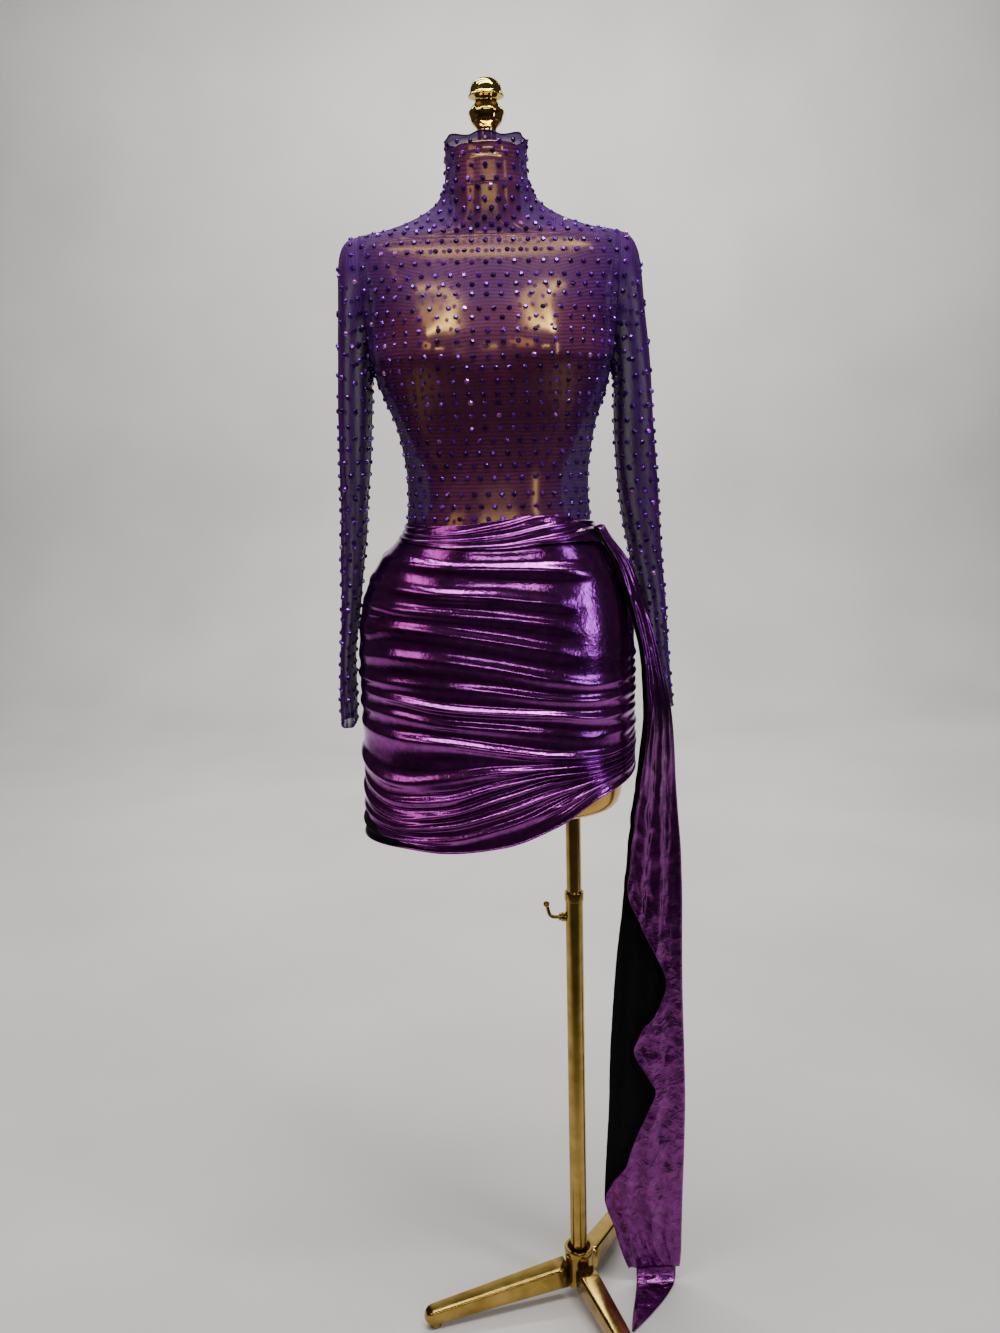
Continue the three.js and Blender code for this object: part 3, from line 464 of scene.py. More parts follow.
form_grid = form_surface()
form = grid_piece("gold_form", form_grid, GOLD, wrap=True)
print("form reaches", np.round(np.ptp(form_grid.reshape(-1, 3), axis=0), 3), "m")

# %% [markdown]
# ## Turned pieces
# The neck cap, the finial, the tubes and the hub are bodies of revolution. Each is an outline of
# radius and height, turned about the vertical. Where the outline has a sharp corner the shading is
# kept sharp, by the angle between the faces.

# %% Cap, finial, tubes and hub
POLE_X = 93.5
CORNER_DEG, ROD_CORNER_DEG = 38, 50     # faces that meet at more than this keep a sharp edge


def turned(name, outline, centre, material, segments=72, steps=None):
    """x = radius times cosine of the turn, y = radius times sine, z from the outline."""
    outline = np.array(outline, float)
    if steps:
        along = np.arange(len(outline))
        outline = curve(np.linspace(0, along[-1], steps), along, outline)
    turn = full_turn(segments)
    radius, height = outline[:, :1], outline[:, 1:]
    points = placed(centre[0] + radius * np.cos(turn), centre[1] + radius * np.sin(turn), height)
    piece = grid_piece(name, points, material, wrap=True)
    piece.data.set_sharp_from_angle(angle=math.radians(CORNER_DEG))
    return piece


NECK_TOP, CAP_TOP = 1569.3, 1583.5
cap = turned("gold_neck_cap", [(0, NECK_TOP), (37.8, NECK_TOP), (39.2, 1570.2), (39.5, 1571.5),
                               (39.5, 1580.5), (39.1, 1582), (37.6, 1583.2), (35, CAP_TOP),
                               (0, CAP_TOP)], (0, 0), BRIGHT_GOLD)
# radius and height over the cap
FINIAL = [(0, 0), (12.6, 0), (11.6, 2.5), (11.4, 10), (11.4, 18), (12.2, 20.5), (15, 23.5), (18.4, 28),
          (20.3, 34), (21.6, 37.6), (21.6, 39), (20.4, 41), (16.5, 46), (13.6, 50), (13.2, 51.5),
          (14.2, 53), (18.5, 54.6), (21.3, 56), (21.6, 57), (20.4, 58.6), (19.5, 60.5), (18.9, 65),
          (17.2, 69.5), (14.3, 73.2), (10.2, 76), (5, 77.5), (0, 77.8)]
finial = turned("gold_finial", [(r, CAP_TOP + 0.3 + z) for r, z in FINIAL], (1, 0), BRIGHT_GOLD,
                steps=110)
upper_tube = turned("upper_tube", [(0, 566), (10.3, 566), (10.3, 751.7), (0, 751.7)], (POLE_X, 0), BRASS)
lower_tube = turned("lower_tube", [(10.9, 24), (12.2, 24), (12.2, 613), (13.2, 614), (13.3, 615),
                                   (13.3, 625), (13.0, 626), (10.9, 626), (10.9, 24)],
                    (POLE_X, 0), BRASS)
hub = turned("cast_hub", [(0, 16), (19, 16), (20.5, 17.5), (20.5, 63), (21.2, 65), (21.2, 73.5),
                          (20.2, 75), (17, 75), (16, 74), (16, 59), (12.8, 59), (12.8, 23.6), (0, 23.6)],
             (POLE_X, 0), BRASS)

# %% [markdown]
# ## Feet and lock screw
# Each foot is a casting that tapers from the hub to its tip, with rounded upper edges and a small
# flat pad under the end. Its section is a rounded rectangle, carried along the foot. The lock screw is
# a bent rod with a ball on its end, turned in a boss on the lower tube; its section is a circle.

# %% Feet
FOOT_START, PAD_BACK = 21.2, 16         # from the pole's axis to the casting, from its tip to the pad


def rounded_box(half, low, top, radius, corner=6):
    """The outline of a rectangle with quarter circles at its corners, anticlockwise."""
    quarter = np.linspace(0, np.pi / 2, corner)
    parts = []
    for sign_x, sign_z, start in ((1, -1, -np.pi / 2), (1, 1, 0), (-1, 1, np.pi / 2), (-1, -1, np.pi)):
        centre_x = sign_x * (half - radius)
        centre_z = (top - radius) if sign_z > 0 else (low + radius)
        parts.append(np.stack([centre_x + radius * np.cos(start + quarter),
                               centre_z + radius * np.sin(start + quarter)], axis=1))
    return np.concatenate(parts)


def foot(name, angle, length):
    """The section shrinks along the foot, from 30 to 22 mm wide and 34 to 21 mm tall, and pulls in
    quickly over the last few millimetres."""
    along = np.concatenate([np.linspace(0, 0.94, 12), 1 - 0.06 * np.cos(np.linspace(0.5, np.pi / 2, 8))])
    pull = np.sqrt(np.clip(1 - ((along - 0.94) / 0.0605).clip(0) ** 2, 0.02, 1))
    rings = []
    for t, p in zip(along, pull):
        half, top, low = (30 - 8 * t) / 2, 54 - 27 * t, 20 - 14 * t
        middle = (top + low) / 2
        ring = rounded_box(half * p, middle - (middle - low) * p, middle + (top - middle) * p,
                           4.6 * p)
        out = FOOT_START + t * (length - FOOT_START)
        rings.append(np.column_stack([np.full(len(ring), out), -ring[:, 0], ring[:, 1]]))
    ends = [np.repeat(ring.mean(axis=0)[None], len(ring), axis=0) for ring in (rings[0], rings[-1])]
    shape = np.array([ends[0], *rings, ends[1]])
    turn = math.radians(angle)
    x = POLE_X + shape[..., 0] * math.cos(turn) - shape[..., 1] * math.sin(turn)
    y = shape[..., 0] * math.sin(turn) + shape[..., 1] * math.cos(turn)
    piece = grid_piece(name, placed(x, y, shape[..., 2]), BRASS, wrap=True)
    pad_out = length - PAD_BACK
    pad = turned(name + "_pad", [(0, 0), (7.6, 0), (8.2, 0.6), (8.2, 8), (0, 8)],
                 (POLE_X + pad_out * math.cos(turn), pad_out * math.sin(turn)), BRASS, segments=32)
    return piece, pad


FEET = {"leg_right": (196, 234), "leg_front": (291, 234), "leg_rear": (61, 240)}
feet = {leg: foot("cast_" + leg, *size) for leg, size in FEET.items()}

# %% Lock screw
SCREW_Z, BALL_X, BALL_UP, BEND_MM = 589, 55.3, 19, 8


def rod(name, path, radius, segments=20):
    """A circle carried along a path in the plane of x and z, square to it; radius may vary."""
    path = np.array(path, float)
    radius = np.broadcast_to(radius, len(path))[:, None]
    run = unit(np.gradient(path, axis=0))
    turn = full_turn(segments)
    x = path[:, :1] - run[:, 1:] * radius * np.cos(turn)
    z = path[:, 1:] + run[:, :1] * radius * np.cos(turn)
    y = radius * np.sin(turn) + 0 * x
    piece = grid_piece(name, placed(x, y, z), BRASS, wrap=True, flip=True)
    piece.data.set_sharp_from_angle(angle=math.radians(ROD_CORNER_DEG))
    return piece


bend = np.linspace(0, np.pi / 2 - 0.16, 10)
arm = [(80.31, SCREW_Z), (80.3, SCREW_Z), (75, SCREW_Z), (66.3, SCREW_Z)]
arm += [(66.3 - BEND_MM * math.sin(a), SCREW_Z + BEND_MM * (1 - math.cos(a))) for a in bend[1:]]
arm += [(55.4, SCREW_Z + BALL_UP), (BALL_X, SCREW_Z + 19.4)]
screw_arm = rod("lock_screw_arm", arm, [0.01] + [2.6] * (len(arm) - 2) + [0.01])
ball = turned("lock_screw_ball", [(4.5 * math.sin(a), SCREW_Z + BALL_UP - 4.5 * math.cos(a))
                                  for a in np.linspace(0, np.pi, 17)], (BALL_X, 0), BRASS, segments=28)
flange = rod("lock_screw_flange", [(x, SCREW_Z) for x in (75.01, 75.0, 72.4, 72.0, 71.99)],
             [0.01, 5.2, 5.2, 4.7, 0.01])
boss = rod("tube_boss", [(x, SCREW_Z) for x in (82.01, 82.0, 76.0, 75.4, 75.39)],
           [3.1, 6.5, 6.5, 6.0, 3.1])

# %% [markdown]
# ## The top: bodice, collar and sleeves
# The bodice is a front and a back of sheer mesh. It lies on the bust and the shoulder blades and
# spans the hollows between them in straight lines, as a stretched cloth does. The front and back
# edges run up the side seam, round the armhole's oval and along the short shoulder to the collar.

# %% Bodice
WAIST_Z, ARMPIT_Z, SHOULDER_Z, NECK_EDGE_Z, COLLAR_SEAM_Z = 1118, 1328, 1484.5, 1535.6, 1536
ARMHOLE = dict(low=149, high=158, half=44)
# height, centre, half width, depth to the front, depth to the back
BODICE = np.array([
    (1118, 3.5, 116, 87, 79), (1140, 3.5, 116.5, 84, 75), (1160, 3.5, 114.5, 81, 71),
    (1190, 3.5, 114.5, 79, 68), (1220, 3.5, 118, 81, 70), (1255, 3, 125, 87, 78),
    (1290, 2, 138, 97, 88), (1328, 0, 149, 104, 95), (1355, 0, 152, 102, 99), (1385, 0, 153, 92, 100),
    (1415, 0, 154, 79, 97), (1440, 0, 155, 67, 89), (1460, 0, 156, 58, 77), (1475, 0, 157, 51, 63),
    (1484.5, 0, 158, 48, 55), (1489, 0, 131, 47, 53), (1498, 0, 101, 46, 51), (1509, 0, 77, 46, 50),
    (1522, 0, 60.5, 46.5, 49), (1535.6, 0, 53, 46.5, 48.5)], float)
BODICE_BUST = dict(x=70, z=1340, rise=23, wide=46, above=60, below=50)


def bodice_points(half, heights, across):
    """x = centre + edge times the sine of the share across; y = depth times (1 - x^2.3)^q, and it
    starts from the armhole's own y there. half is -1 for the front and 1 for the back."""
    centre, width, front, back = read_table(BODICE, heights)
    z = heights[:, None]
    level = np.clip((z - (ARMPIT_Z + SHOULDER_Z) / 2) / ((SHOULDER_Z - ARMPIT_Z) / 2), -1, 1)
    in_hole = (z > ARMPIT_Z) & (z < SHOULDER_Z)
    hole_x = ARMHOLE["low"] + (ARMHOLE["high"] - ARMHOLE["low"]) * (level + 1) / 2
    edge_x = np.where(in_hole, hole_x, width)
    edge_y = np.where(in_hole, ARMHOLE["half"] * np.sqrt(np.clip(1 - level ** 2, 0, 1)), 0)
    reach = np.sin(across * np.pi / 2)[None]
    rise = smooth(z, ARMPIT_Z, ARMPIT_Z + 45) * (1 - smooth(z, SHOULDER_Z + 10, COLLAR_SEAM_Z))
    roundness = 1 / SQUARENESS + (0.9 - 1 / SQUARENESS) * rise
    swell = np.clip(1 - np.abs(reach) ** SQUARENESS, 0, 1) ** roundness
    depth = front if half < 0 else back
    x = centre + edge_x * reach
    y = half * (edge_y + (depth - edge_y) * swell)
    if half < 0:
        y = y - bust(x, z, BODICE_BUST) * smooth(swell, 0, 0.6)
    return placed(x, y + half * 0.1, z + 0 * x)


hole_levels = ARMPIT_Z + (SHOULDER_Z - ARMPIT_Z) * (1 - np.cos(np.linspace(0, np.pi, 44))) / 2
BODICE_LEVELS = np.concatenate([np.linspace(WAIST_Z, ARMPIT_Z, 44)[:-1], hole_levels,
                                np.linspace(SHOULDER_Z, NECK_EDGE_Z, 20)[1:]])
GLOW_UP, GLOW_MM = 22, 40               # the thin place lies above the bust's middle, and its width


# This mask also sets where the mesh is painted mauve, a painted warm light from the gold.
def gold_behind(points):
    """1 where the form lies behind as seen from the front or back, falling to 0 past its outline;
    less on the upper chest, where the mesh is slack and lies off the form."""
    x, z = abs(points[..., 0] - AXIS[0]) * 1000, points[..., 2] * 1000
    inside = 1 - smooth(x / np.interp(z, FORM[:, 0], FORM[:, 1]), 0.74, 1.04)
    slack = 0.6 * smooth(z, 1375, 1405) * (1 - smooth(z, 1500, 1530))
    return inside * (1 - slack) * (1 - smooth(z, 1574, 1584))


def bust_share(points):
    """1 on the two tops of the bust, falling off as a bell: e to the minus (distance / 40 mm)^2."""
    x, z = abs(points[..., 0] - AXIS[0]) * 1000, points[..., 2] * 1000
    return np.exp(-((x - BODICE_BUST["x"]) ** 2 + (z - BODICE_BUST["z"] - GLOW_UP) ** 2) / GLOW_MM ** 2)


def bodice_cover(points, front):
    """0.86 of yarn, less over the form and least on the bust, more beside the seams."""
    across = np.linspace(-1, 1, points.shape[1])
    seam = smooth(abs(across), 0.93, 1.0)[None]
    uneven = ripple(across[None] * 1.4, points[..., 2] * 5, 61)
    return (YARN - 0.23 * gold_behind(points) - 0.16 * front * bust_share(points) + 0.08 * seam
            + 0.03 * uneven)


front_grid = bodice_points(-1, BODICE_LEVELS, np.linspace(-1, 1, 121))
back_grid = bodice_points(1, BODICE_LEVELS, np.linspace(-1, 1, 101))
bodice_front = grid_piece("mesh_bodice_front", front_grid, MESH, cover=bodice_cover(front_grid, 1),
                          over_gold=gold_behind(front_grid))
bodice_back = grid_piece("mesh_bodice_back", back_grid, MESH, flip=True,
                         cover=bodice_cover(back_grid, 0), over_gold=gold_behind(back_grid))
print("bodice front", round(area_of(front_grid), 4), "back", round(area_of(back_grid), 4), "m2")

# %% Collar
# height, centre, half width, depth to the front, depth to the back
COLLAR = np.array([(1536, 0, 53, 46.5, 48.5), (1548, -1, 50.5, 45, 47), (1562, -1, 49.5, 44.5, 46.5),
                   (1576, -1, 49.5, 44.5, 46.5), (1590, -1, 50, 45, 47.5)], float)


def collar_points(rows=30, columns=140):
    """Level ovals; towards the free edge the height swings by 2 mm seven times round, and the back
    stands 5 mm higher."""
    heights = np.linspace(COLLAR_SEAM_Z, COLLAR[-1, 0], rows)
    centre, width, front, back = read_table(COLLAR, heights)
    turn = full_turn(columns)[None]
    edge = smooth(heights, 1566, COLLAR[-1, 0])[:, None]
    flare = edge * (1.3 * np.sin(7 * turn + 0.8) + 0.7 * np.sin(17 * turn))
    lift = edge * (2.0 * np.sin(7 * turn) + 5 * np.clip(np.sin(turn), 0, 1))
    x = centre + (width + flare) * np.cos(turn)
    y = (np.where(np.sin(turn) < 0, front, back) + flare) * np.sin(turn)
    return placed(x, y, heights[:, None] + lift)


collar_grid = collar_points()
collar_edge = smooth(collar_grid[..., 2] * 1000, 1580, 1586)
collar = grid_piece("mesh_collar", collar_grid, MESH, wrap=True, over_gold=gold_behind(collar_grid),
                    cover=YARN - 0.2 * gold_behind(collar_grid) + 0.08 * collar_edge)
print("collar", round(area_of(collar_grid, True), 4), "m2")

# %% [markdown]
# ## Sleeves
# A sleeve is a tube that starts as the armhole's standing oval and turns down into level ovals. It is
# empty, so it falls nearly flat, with long creases from the shoulder to the cuff. Each row of the
# table names the loop's point next to the body, its point away from it, its half breadth, and how far
# it hangs to the back.

# %% Sleeve surfaces
# inner x, inner z, outer x, outer z, half breadth, y
SLEEVE_RIGHT = np.array([
    (149.5, 1328, 158.5, 1484.5, 44, 0), (150.2, 1325.5, 171, 1481, 44, 0),
    (150.8, 1322.5, 181, 1470, 44, 0), (151.2, 1319, 186, 1450, 44.5, 0),
    (151.5, 1315, 188.5, 1405, 45, 0), (151.8, 1308, 192, 1350, 45.5, 1),
    (152, 1290, 195, 1298, 45, 1), (157, 1228, 197, 1228, 43, 2), (163.5, 1166, 198, 1166, 40, 3),
    (172, 1089, 202, 1089, 37, 4), (184, 1010, 205, 1010, 34, 5), (191, 957, 209, 957, 32.5, 6),
    (192, 905, 211, 905, 31, 6), (193, 871, 212, 871, 30, 6)], float)
SLEEVE_LEFT = np.array([
    (149.5, 1328, 158.5, 1484.5, 44, 0), (150.2, 1325.5, 170, 1480, 44, 0),
    (150.8, 1322.5, 180, 1467, 44, 0), (151.2, 1319, 185.5, 1447, 44.5, 0),
    (151.5, 1315, 190, 1402, 45, 1), (151.8, 1308, 196, 1346, 45.5, 3),
    (152.5, 1290, 200, 1295, 45, 5), (154, 1228, 205.5, 1228, 43, 9), (159, 1166, 210.5, 1166, 40, 14),
    (172, 1089, 214.5, 1089, 37, 19), (186, 1020, 221, 1020, 34, 24), (195, 957, 225, 957, 32.5, 28),
    (204, 915, 228, 915, 31, 30), (212, 882, 231, 882, 30, 31)], float)


def sleeve_points(table, mirror, seed, rows=150, columns=84):
    """Each loop: x from inner to outer by (1 + cosine) / 2, y by the sine, and four creases."""
    at = np.arange(len(table))
    place = np.concatenate([np.linspace(0, 6, 44)[:-1], np.linspace(6, len(table) - 1, rows - 43)])
    in_x, in_z, out_x, out_z, half, y = curve(place, at, table).T[:, :, None]
    turn = full_turn(columns)[None]
    across = (1 + np.cos(turn)) / 2
    fall = smooth(place, 3, 8)[:, None]
    z = in_z + (out_z - in_z) * across
    crease = fall * (-1.3 * np.cos(4 * turn) + 0.7 * np.sin(7 * turn + 2 * ripple(z / 260, 0, seed))
                     + 0.6 * ripple(turn / 2, z / 90, seed + 1))
    x = in_x + (out_x - in_x) * across + crease * np.cos(turn)
    return placed(mirror * x, y - (half + crease) * np.sin(turn), z)


def sleeve_cover(points, seed):
    """0.81 of yarn, more in the two sharp side folds, beside the armhole and at the cuff, with
    lengthwise streaks that wander a little, and never more than 0.97."""
    turn = full_turn(points.shape[1])[None]
    down = np.linspace(0, 1, points.shape[0])[:, None]
    streak = np.sin(9 * turn + 1.6 * ripple(down * 2, turn / 3, seed))
    ends = 1 - smooth(down, 0, 0.13) + 0.8 * smooth(down, 0.975, 0.99)
    return np.minimum(SLEEVE_YARN + 0.16 * np.cos(turn) ** 4 + 0.09 * streak + 0.12 * ends, 0.97)


right_grid = sleeve_points(SLEEVE_RIGHT, -1, 5)
left_grid = sleeve_points(SLEEVE_LEFT, 1, 9)
sleeve_right = grid_piece("mesh_sleeve_right", right_grid, MESH, wrap=True, flip=True, over_gold=0,
                          cover=sleeve_cover(right_grid, 71))
sleeve_left = grid_piece("mesh_sleeve_left", left_grid, MESH, wrap=True, over_gold=0,
                         cover=sleeve_cover(left_grid, 72))
print("sleeves", round(area_of(right_grid, True), 4), round(area_of(left_grid, True), 4), "m2")

# %% [markdown]
# ## The skirt
# The skirt is cut much longer than it is worn and gathered up in the side seams, so it lies in folds
# that run round it. The table has one line for each fold: its height at seven places across the front.
# Rows of the grid follow these lines, which puts the mesh along the folds. Between two lines the
# cloth falls back in a rounded trough. How far a crest stands out changes along it, because a real
# fold comes and goes.

# %% Skirt
SKIRT_WALL_MM, DRAPE_WALL_MM, TRAIN_WALL_MM = 0.9, 1.2, 0.8
# heights at the right seam, across the front and at the left seam; depth at the right seam, in the
# middle and at the left seam; how far the line sags across the back
LINES = np.array([
    (1134, 1133, 1134, 1139, 1144, 1139, 1129, 0, 0, 0, 0),
    (1119, 1112, 1108, 1107, 1111, 1112, 1100, 0, 0, 0, 4),
    (1096, 1091, 1087, 1084, 1081, 1076, 1070, 3, 5, 3, 6),
    (1068, 1059, 1052, 1047, 1039, 1028, 1020, 4, 5, 1, 8),
    (1039, 1034, 1030, 1023, 1012, 1000, 990, 3, 2, 1, 9),
    (1007, 1012, 1006, 996, 982, 969, 963, 2, 5, 2, 9),
    (968, 974, 971, 961, 946, 938, 942, 3, 5, 2, 10),
    (945, 943, 938, 931, 920, 914, 918, 3, 4, 2, 10),
    (927, 922, 913, 907, 901, 893, 896, 3, 5, 2, 11),
    (908, 902, 893, 886, 876, 866, 875, 4, 5, 2, 11),
    (883, 870, 868, 858, 848, 844, 857, 4, 6, 2, 11),
    (843, 816, 820, 831, 834, 833, 847, 5, 6, 2, 10),
    (815, 787, 793, 813, 825, 826, 840, 5, 5, 1, 9),
    (797, 768, 775, 796, 815, 819, 834, 4, 5, 1, 8),
    (769, 754, 760, 778, 800, 812, 828, 4, 4, 1, 6),
    (748, 739, 741, 757, 782, 804, 822, 3, 4, 1, 4),
    (726, 727, 724, 731, 755, 788, 814, 0.5, 0.5, 0.5, 2)], float)
STATIONS = [-1, -0.5, -0.25, 0, 0.25, 0.5, 1]
# height, centre, half width, depth to the front, depth to the back
SKIRT = np.array([
    (725, -3, 182, 108, 110), (780, -3, 180, 110, 114), (830, -3, 179, 112, 118),
    (880, -3, 179, 113, 121), (930, -3, 180, 114, 122), (980, -3, 179, 113, 120),
    (1015, -3, 176, 111, 117), (1045, -2, 170, 108, 111), (1070, -1, 160, 103, 103),
    (1090, 0, 149, 99, 97), (1112, 2.5, 131, 94, 88), (1130, 3.5, 118.9, 87.6, 79.2),
    (1146, 3.5, 118.2, 85.6, 76.4)], float)


def line_heights(across, half):
    """Height of each line at each place across: a curve in front, a straight sag at the back."""
    if half < 0:
        return curve(across, STATIONS, LINES[:, :7].T).T
    share = (across + 1) / 2
    return (LINES[:, :1] * (1 - share) + LINES[:, 6:7] * share
            - LINES[:, 10:11] * np.cos(across * np.pi / 2))


def skirt_at(across, z, out, half):
    """The skirt's oval at each height, moved out by the fold's relief."""
    centre, width, front, back = np.moveaxis(curve(z.ravel(), SKIRT[:, 0], SKIRT[:, 1:]), 1, 0)
    centre, width, front, back = (value.reshape(z.shape) for value in (centre, width, front, back))
    reach = np.sin(across * np.pi / 2)
    swell = np.clip(1 - np.abs(reach) ** SQUARENESS, 0, 1) ** (1 / SQUARENESS)
    depth = front if half < 0 else back
    return placed(centre + (width + out) * reach, half * ((depth + out) * swell + 0.1), z)


def turned_hem(s, k):
    """1 in a wedge along the front hem's right end, where the raw edge is turned up."""
    tall = 2.1 * (1 - smooth(s, -1.15, -0.2)) ** 0.9
    return smooth(k, len(LINES) - 1 - tall, len(LINES) - 0.94 - tall) * (s < -0.21)


def skirt_points(half, seed, rows=300, columns=190):
    """Relief = depth times a bell over each line, less between lines, times a slow unevenness. In
    front the hip below the left side is calm, and short folds fan out from the left seam."""
    across = np.linspace(-1, 1, columns)
    fold = np.linspace(0, len(LINES) - 1, rows)
    knots = np.arange(len(LINES))
    z = curve(fold, knots, line_heights(across, half))
    s, k = across[None], fold[:, None]
    side = 0.6 * np.where(s < 0, LINES[:, 7:8], LINES[:, 9:10])
    depth = LINES[:, 8:9] + (side - LINES[:, 8:9]) * s ** 2
    depth = np.array([np.interp(fold, knots, column) for column in depth.T]).T
    part = k - np.floor(k)
    phase = np.where(part < 0.55, part / 1.1, 0.5 + (part - 0.55) / 0.9)
    crest = (0.5 + 0.5 * np.cos(2 * np.pi * phase)) ** 1.7
    swing = 0.85 + 0.35 * ripple(s * 1.1, k * 0.9, seed)
    small = np.sin(2 * np.pi * (2.15 * k + 0.5 * ripple(s, k / 6, seed + 1)))
    small = small * smooth(ripple(s * 1.3, k * 0.4, seed + 2), 0.0, 1.3)
    low = smooth(k, 2, 3.5) * (1 - smooth(k, len(LINES) - 1.6, len(LINES) - 1))
    relief = depth * crest * swing.clip(0.3, 1.3) + 1.0 * small * low * (1 - s ** 4)
    if half < 0:
        calm = smooth(s, 0.26, 0.42) * (1 - smooth(s, 0.8, 0.96))
        calm = calm * smooth(k, 2.3, 3.1) * (1 - smooth(k, 5.5, 6.4))
        fan = np.sin(2 * np.pi * 2 * k) * smooth(s, 0.66, 0.93) * smooth(k, 4, 6)
        fan = fan * (1 - 0.8 * smooth(s, 0.93, 1)) * (1 - smooth(k, 11, 13))
        relief = relief * (1 - 0.88 * calm) + 1.1 * fan
        relief = relief + depth * crest * 0.3 * smooth(k, 10.5, 11.5) * (1 - smooth(k, 15, 15.6))
        relief = relief + 1.3 * turned_hem(s, k)
    return skirt_at(s, z, relief, half)


skirt_grid_front = skirt_points(-1, 21)
skirt_grid_back = skirt_points(1, 33)
skirt_front = wall(grid_piece("foil_skirt_front", skirt_grid_front[::-1], FOIL), SKIRT_WALL_MM,
                   REVERSE)
skirt_back = wall(grid_piece("foil_skirt_back", skirt_grid_back[::-1], FOIL, flip=True), SKIRT_WALL_MM,
                  REVERSE)
rows, columns = skirt_grid_front.shape[:2]
hem_faces = turned_hem(np.linspace(-1, 1, columns)[None, :-1],
                       np.linspace(0, len(LINES) - 1, rows)[::-1][:-1, None]) > 0.5
skirt_front.data.polygons.foreach_set("material_index", hem_faces.astype(np.int32).ravel())
print("skirt", round(area_of(skirt_grid_front), 4), round(area_of(skirt_grid_back), 4), "m2")

# %% [markdown]
# ## Waist drape
# A strip of the same cloth is wrapped over the top of the skirt's front and laid in folds. It is the
# skirt's own surface again, moved out: least at the top edge, most at the lower edge, which stands off
# the skirt and throws a dark line under it.

# %% Drape
DRAPE_REACH = 0.875                     # it ends this far out, as a share of the skirt's half front
BULGE_MM = (2.1, 6.0, 7.2, 7.5, 7.2)    # off the skirt, from the drape's top edge to its lower edge


def drape_points(seed, rows=80, columns=160):
    """Bulge over the width of the strip, nearly flat at the right end and a roll at the left, plus
    laid folds that lean from side to side: each is a sharp crest, a raised sine to the power 4."""
    across = np.linspace(-DRAPE_REACH, DRAPE_REACH, columns)
    heights = line_heights(across, -1)
    share = np.linspace(0, 1, rows)[:, None]
    s = across[None]
    z = (heights[0] + 1.5) * (1 - share) + heights[1] * share
    bulge = np.interp(share.ravel(), np.linspace(0, 1, len(BULGE_MM)), BULGE_MM)[:, None]
    stand = BULGE_MM[0] + (bulge - BULGE_MM[0]) * (0.2 + 0.8 * smooth(s, -0.6, 0.3))
    lay = 0.5 + 0.5 * np.sin(2 * np.pi * (2.6 * share + 0.75 * s + 0.45 * ripple(s, share / 2, seed)))
    tall = 2.4 + 1.2 * ripple(s * 1.6, share, seed + 1)
    relief = stand + tall * lay ** 4 * np.sin(np.pi * share) ** 0.5
    return skirt_at(s, z, relief, -1)


drape_grid = drape_points(40)
drape = wall(grid_piece("foil_waist_drape", drape_grid[::-1], FOIL), DRAPE_WALL_MM, REVERSE)
print("drape", round(area_of(drape_grid), 4), "m2")

# %% [markdown]
# ## Train
# The train is one long strip, folded lengthwise. Its spine hangs on the outside, the back layer is
# whole and shows its black reverse, and the front layer's free edge falls in a zigzag, because the cut
# edge of a hanging strip swings from side to side. In section it is a narrow U lying on its side.

# %% Train
# height, open edge x and y, spine x and y, room between the layers
TRAIN = np.array([
    (24, 167, 19, 242, 20, 6), (55, 156, 18, 243, 19, 7), (98, 145, 17, 243, 19, 8),
    (140, 133, 16, 243, 18, 9), (212, 136, 14, 244, 17, 10), (293, 140, 12, 245, 16, 10),
    (372, 142, 9, 243, 14, 10), (450, 146, 5, 240, 12, 10), (526, 151, 0, 238, 9, 10),
    (600, 158, -8, 237, 7, 10), (674, 164, -18, 234, 4, 10), (746, 168, -34, 228, 0, 9),
    (789, 173, -44, 225, -4, 8), (831, 176, -54, 222, -10, 8), (887, 181, -57, 217, -16, 7),
    (956, 178, -59, 202, -19, 6), (1024, 163.5, -58, 184, -15, 6), (1078, 147.5, -57, 166.5, -13, 5),
    (1104, 135.5, -52, 154.5, -12, 5), (1127, 124.5, -46, 144.5, -12, 5)], float)
# height, share of the width that the front layer covers
CASCADE = np.array([
    (24, 0.985), (148, 0.985), (164, 0.93), (204, 0.72), (228, 0.667), (278, 0.49), (317, 0.37),
    (341, 0.475), (385, 0.675), (408, 0.59), (453, 0.3), (486, 0.2), (529, 0.38), (574, 0.65),
    (640, 0.97), (1127, 0.96)], float)
PLEATS = (0.2, 0.46, 0.8)               # where the long pleats run, as a share of the layer's width


